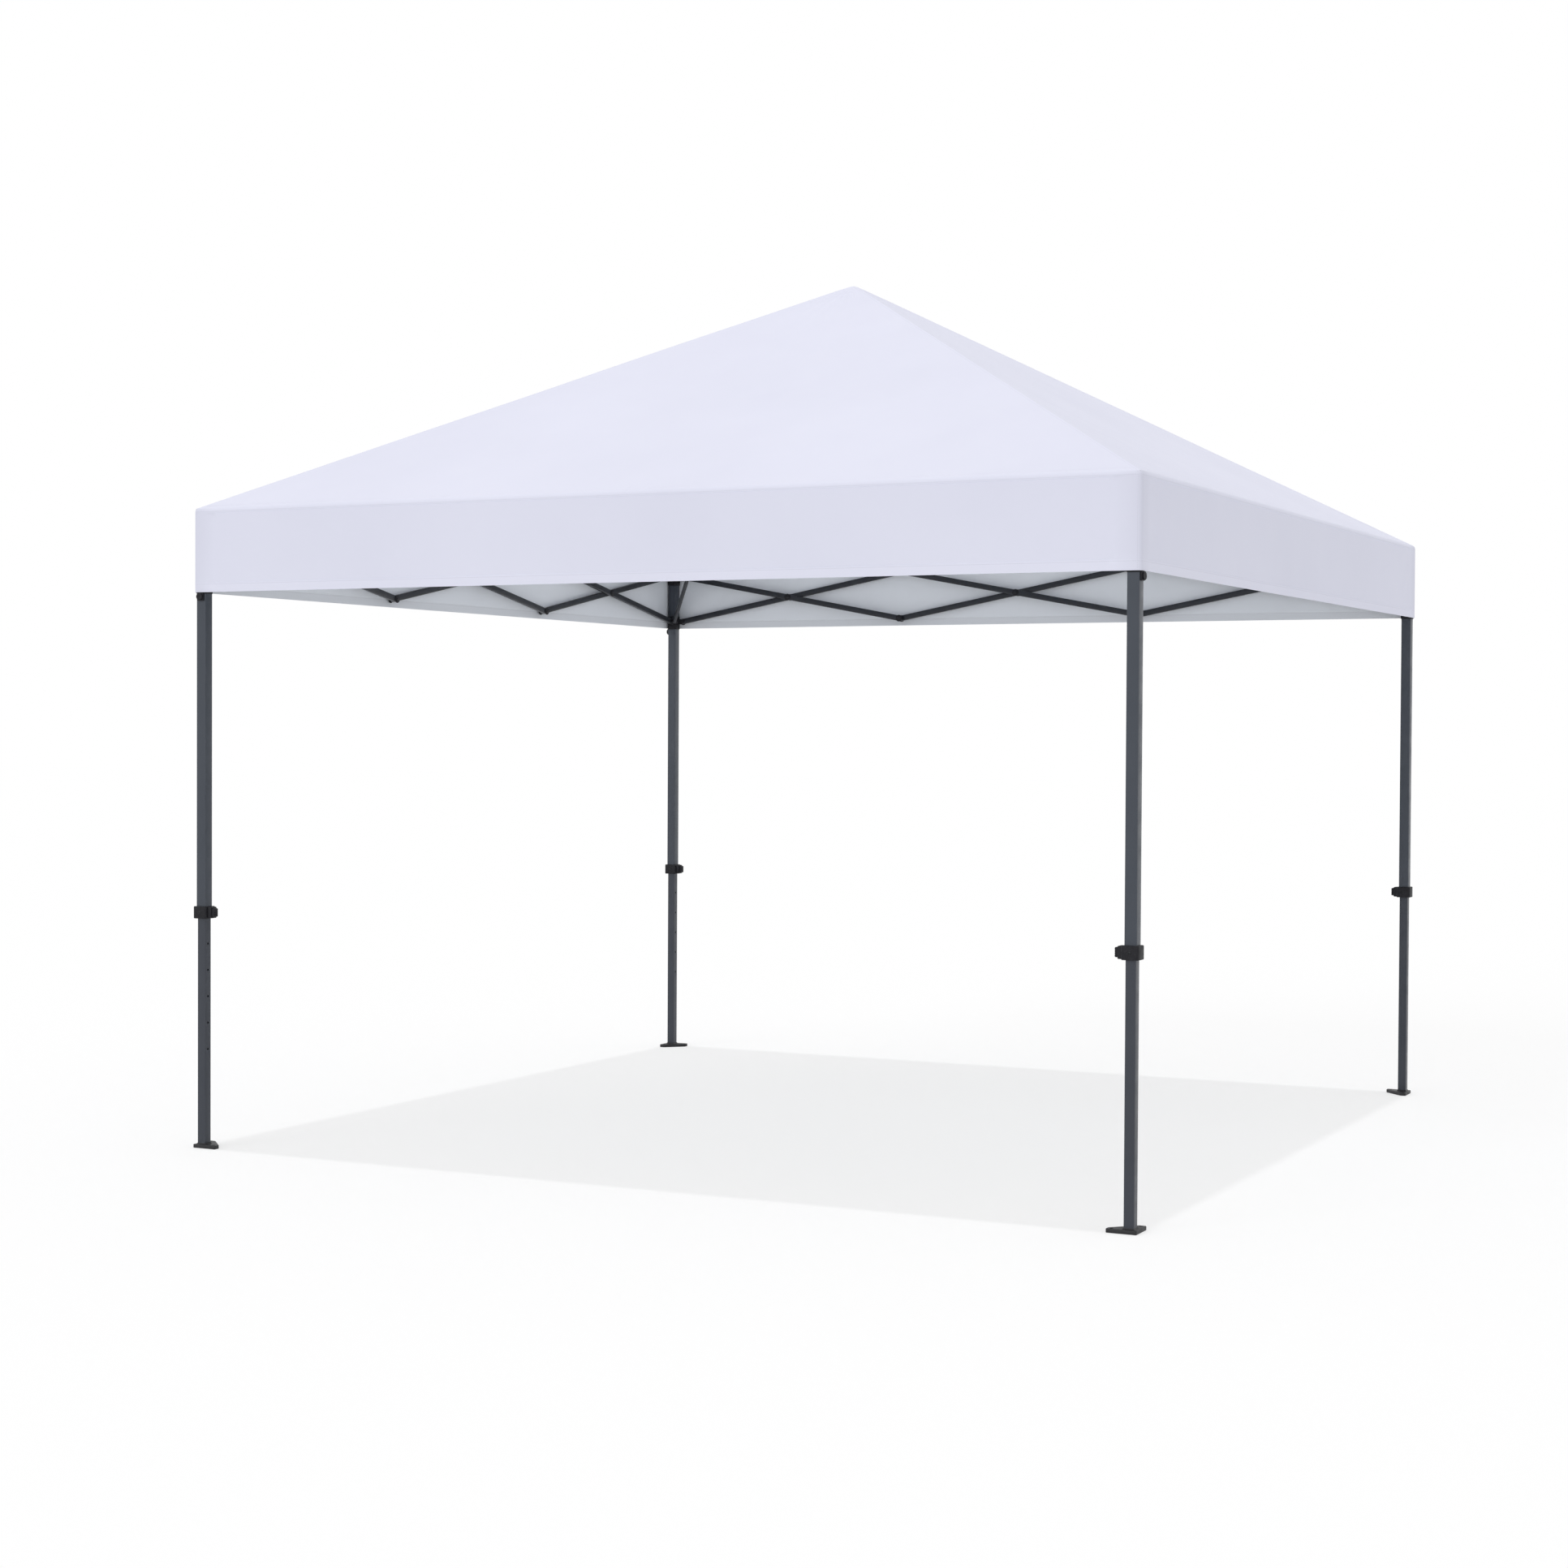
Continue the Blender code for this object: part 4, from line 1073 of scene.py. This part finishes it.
def foot_mesh():
    """Foot plate with two wings, a stake hole in each, and the weld round the tube."""
    outer = -LOWER_TUBE / 2 - FOOT_LIP
    inner = outer + FOOT_SIZE
    wing = outer + FOOT_WING_END
    outline = [(outer, outer), (inner, outer), (inner, wing), (wing, inner), (outer, inner)]
    hole_along = inner - FOOT_WING_END / 2 - STAKE_HOLE_RADIUS / 2
    hole_across = outer + FOOT_WING_END / 2 + STAKE_HOLE_RADIUS / 4
    holes = []
    for x, y in ((hole_along, hole_across), (hole_across, hole_along)):
        holes.append(rod(STAKE_HOLE_RADIUS, (x, y, -FOOT_THICKNESS), (x, y, 2 * FOOT_THICKNESS)))
    plate = cut(prism(outline, 0.0, FOOT_THICKNESS, FOOT_ROUNDING, FOOT_RIM), *holes)
    toe, crown = ((LOWER_TUBE / 2 + width) * math.sqrt(2) for width in (WELD_WIDTH, WELD_WIDTH / 10))
    waist = (0.6 * crown + 0.4 * toe, WELD_HEIGHT * 0.35)
    bead = [(0.0, 0.0), (toe, 0.0), waist, (crown, WELD_HEIGHT), (0.0, WELD_HEIGHT)]
    turn = Matrix.Rotation(EIGHTH_TURN, 4, "Z")
    weld = placed(turned(bead, 4), Matrix.Translation((0.0, 0.0, FOOT_THICKNESS)) @ turn)
    return merged("foot", (plate, FOOT_STEEL), (weld, FOOT_STEEL))


def slider_mesh():
    """Moulded block that runs on the upper tube, with lugs for its bars and strut, and the pin's tab."""
    root = SLIDER_SIZE / 4
    layer = LAYER_PITCH / 2
    body = united(
        post(SLIDER_SIZE, SLIDER_BOTTOM, SLIDER_TOP, FITTING_ROUNDING, FITTING_RIM),
        block(
            (-TAB_WIDTH / 2, -TAB_FACE, LATCH_HEIGHT - TAB_BELOW_PIN),
            (TAB_WIDTH / 2, 0.0, TAB_TOP),
            SOFT_EDGE / 2,
        ),
        lug(root, SIDE_PIVOT_OFFSET, SLIDER_PIVOT, layer, -1, BAR_WIDTH, 0.0),
        lug(root, SIDE_PIVOT_OFFSET, SLIDER_PIVOT, layer, -1, BAR_WIDTH, QUARTER_TURN),
        lug(root, DIAGONAL_PIVOT_OFFSET, SLIDER_PIVOT, -LAYER_PITCH, 1, STRUT_WIDTH, EIGHTH_TURN),
    )
    bore = post(UPPER_TUBE + 2 * RUNNING_GAP, SLIDER_BOTTOM / 2, 2 * SLIDER_TOP, TUBE_ROUNDING)
    pin_hole = rod(PIN_RADIUS + RUNNING_GAP, (0.0, -2 * TAB_FACE, LATCH_HEIGHT), (0.0, 0.0, LATCH_HEIGHT))
    return merged("slider", (cut(body, bore, pin_hole), PLASTIC))


def latch_mesh():
    """Pull pin on the tab's -Y face: a dished knob with grips round its rim, and the pin."""
    depth = KNOB_DEPTH
    knob = turned([
        (0.0, 0.0), (KNOB_RADIUS - KNOB_RIM, 0.0), (KNOB_RADIUS, KNOB_RIM), (KNOB_RADIUS, depth - KNOB_RIM),
        (KNOB_RADIUS - KNOB_RIM, depth), (KNOB_RADIUS * 0.7, depth), (KNOB_RADIUS * 0.4, depth - KNOB_DISH),
        (0.0, depth - KNOB_DISH),
    ], 48)
    grips = []
    for i in range(KNOB_GRIPS):
        angle = 2 * math.pi * i / KNOB_GRIPS
        x, y = KNOB_RADIUS * math.cos(angle), KNOB_RADIUS * math.sin(angle)
        grips.append(rod(KNOB_RIM * 0.7, (x, y, -depth), (x, y, 2 * depth), 10))
    knob = placed(cut(knob, *grips), facing((0.0, -KNOB_BACK, LATCH_HEIGHT), -Y_AXIS))
    pin = rod(PIN_RADIUS, (0.0, -KNOB_BACK - depth / 2, LATCH_HEIGHT), (0.0, -PIN_TIP, LATCH_HEIGHT))
    return merged("latch", (knob, PLASTIC), (pin, RIVET))


def hub_mesh():
    """Moulded peak hub, hollow below with crossed webs, and a lug for each upper rafter."""
    narrow, shoulder = HUB_RADIUS - HUB_RIM, HUB_RADIUS - HUB_RIM * 0.3
    core = turned([
        (0.0, HUB_BOTTOM), (narrow, HUB_BOTTOM), (shoulder, HUB_BOTTOM + HUB_RIM * 0.3),
        (HUB_RADIUS, HUB_BOTTOM + HUB_RIM), (HUB_RADIUS, HUB_TOP - HUB_RIM),
        (shoulder, HUB_TOP - HUB_RIM * 0.3), (narrow, HUB_TOP), (0.0, HUB_TOP),
    ], 48)
    lugs = []
    for corner in range(len(CORNERS)):
        turn = EIGHTH_TURN + corner * QUARTER_TURN
        lugs.append(lug(HUB_RADIUS * 0.9, HUB_PIVOT_RADIUS, HUB_PIVOT, -LAYER_PITCH, 1, BAR_WIDTH, turn))
    roof = HUB_TOP - HUB_ROOF
    hollow = rod(HUB_HOLLOW_RADIUS, (0.0, 0.0, HUB_BOTTOM - HUB_ROOF), (0.0, 0.0, roof), 48)
    reach = HUB_HOLLOW_RADIUS + HUB_RIM / 2
    low, high = HUB_BOTTOM + HUB_RIM, roof + HUB_WEB
    webs = [
        block((-reach, -HUB_WEB / 2, low), (reach, HUB_WEB / 2, high), HUB_WEB / 4),
        block((-HUB_WEB / 2, -reach, low), (HUB_WEB / 2, reach, high), HUB_WEB / 4),
    ]
    return merged("hub", (united(cut(united(core, *lugs), hollow), *webs), PLASTIC))


def cap_mesh():
    """Domed cap with a rounded brim, which carries the cover's peak."""
    dome = CAP_BOTTOM + CAP_BRIM
    angles = [QUARTER_TURN * i / 10 for i in range(10)]
    rise = [(CAP_RADIUS * math.cos(a), dome + (CAP_TOP - dome) * math.sin(a)) for a in angles]
    lip = CAP_BRIM / 3
    brim = [(0.0, CAP_BOTTOM), (CAP_RADIUS - lip, CAP_BOTTOM), (CAP_RADIUS, CAP_BOTTOM + lip)]
    return merged("cap", (turned([*brim, *rise, (0.0, CAP_TOP)], 48), PLASTIC))


def lock_place(index):
    """Corner's own frame turned so that its X points out through the height lock."""
    low, high = box_of(f"{CORNERS[index]}_height_lock")
    out = PLACES[index].inverted() @ ((low + high) / 2)
    return PLACES[index] @ Matrix.Rotation(math.atan2(out.y, out.x), 4, "Z")


def add_fittings():
    bracket, collar, lock = bracket_mesh(), collar_mesh(), lock_mesh()
    upper, lower, foot = upper_tube_mesh(), lower_tube_mesh(), foot_mesh()
    slider, latch = slider_mesh(), latch_mesh()
    for index, name in enumerate(CORNERS):
        place, lock_side = PLACES[index], lock_place(index)
        upper_leg, lower_leg = f"{name}_upper_leg", f"{name}_lower_leg"
        for part, mesh, at, node, slot in (
            ("leg_tube", upper, place, upper_leg, "steel"),
            ("corner_bracket", bracket, place, upper_leg, "plastic"),
            ("collar", collar, lock_side, upper_leg, "plastic"),
            ("inner_tube", lower, lock_side, lower_leg, "steel"),
            ("foot_plate", foot, place, lower_leg, "steel"),
            ("lock_block", lock, lock_side, f"{name}_height_lock", "plastic"),
            ("slider_block", slider, place, f"{name}_slider", "plastic"),
            ("pull_knob", latch, place, f"{name}_slider_latch", "plastic"),
        ):
            piece(f"{name}_{part}", mesh, at, node, [node])
    piece("hub_moulding", hub_mesh(), Matrix(), "hub", ["peak_hub"])
    piece("cap_moulding", cap_mesh(), Matrix(), "hub", ["peak_cap"])


# Stage, light and camera

def seen_directly(tree):
    """One where a ray comes from the camera, a glossy surface or a clear one, else nought."""
    path = add_node(tree, "ShaderNodeLightPath")
    seen = path.outputs["Is Camera Ray"]
    for ray in ("Is Glossy Ray", "Is Transmission Ray"):
        seen = math_node(tree, "MAXIMUM", seen, path.outputs[ray])
    return seen


def add_stage():
    """White floor that keeps a pale share of the shadow."""
    bm = bmesh.new()
    bmesh.ops.create_grid(bm, x_segments=2, y_segments=2, size=FLOOR_HALF)
    floor = shape_of(bm)
    floor.name = "floor"
    material, tree, shader = material_nodes("pale_floor")
    shader.inputs["Base Color"].default_value = (FLOOR_SHADE, FLOOR_SHADE, FLOOR_SHADE, 1.0)
    shader.inputs["Roughness"].default_value = 1.0
    shader.inputs["Specular IOR Level"].default_value = 0.0
    glow = add_node(tree, "ShaderNodeEmission", Strength=FLOOR_GLOW_STRENGTH)
    mix = add_node(tree, "ShaderNodeMixShader")
    tree.links.new(math_node(tree, "MULTIPLY", seen_directly(tree), FLOOR_GLOW), mix.inputs["Fac"])
    tree.links.new(shader.outputs["BSDF"], mix.inputs[1])
    tree.links.new(glow.outputs["Emission"], mix.inputs[2])
    tree.links.new(mix.outputs["Shader"], tree.nodes["Material Output"].inputs["Surface"])
    floor.data.materials.append(material)


def add_light():
    world = bpy.data.worlds.new("studio")
    bpy.context.scene.world = world
    world.use_nodes = True
    tree = world.node_tree
    back = tree.nodes["Background"]
    back.inputs["Color"].default_value = (1.0, 1.0, 1.0, 1.0)
    brightness = between(tree, seen_directly(tree), (0.0, 1.0), (SKY_LEVEL, 1.0))
    tree.links.new(brightness, back.inputs["Strength"])
    for name, turns, strength, softness in SUNS:
        sun = bpy.data.lights.new(name, "SUN")
        sun.energy = strength
        sun.angle = math.radians(softness)
        lamp = bpy.data.objects.new(name, sun)
        lamp.rotation_euler = [math.radians(a) for a in turns]
        bpy.context.scene.collection.objects.link(lamp)


def add_camera():
    lens = bpy.data.cameras.new("camera")
    lens.sensor_width = SENSOR_MM
    lens.lens = SENSOR_MM * FOCAL_PIXELS / FRAME_PIXELS
    camera = bpy.data.objects.new("camera", lens)
    camera.matrix_world = (
        Matrix.Translation(CAMERA_PLACE)
        @ Matrix.Rotation(CAMERA_YAW, 4, "Z")
        @ Matrix.Rotation(QUARTER_TURN + CAMERA_PITCH, 4, "X")
        @ Matrix.Rotation(CAMERA_ROLL, 4, "Z")
    )
    bpy.context.scene.collection.objects.link(camera)
    bpy.context.scene.camera = camera
    bpy.context.scene.view_settings.view_transform = "Standard"


for corner_index in range(len(CORNERS)):
    add_roof(corner_index)
    add_valances(corner_index)
add_roof_tip()
add_truss()
add_rafters()
add_fittings()
add_stage()
add_light()
add_camera()
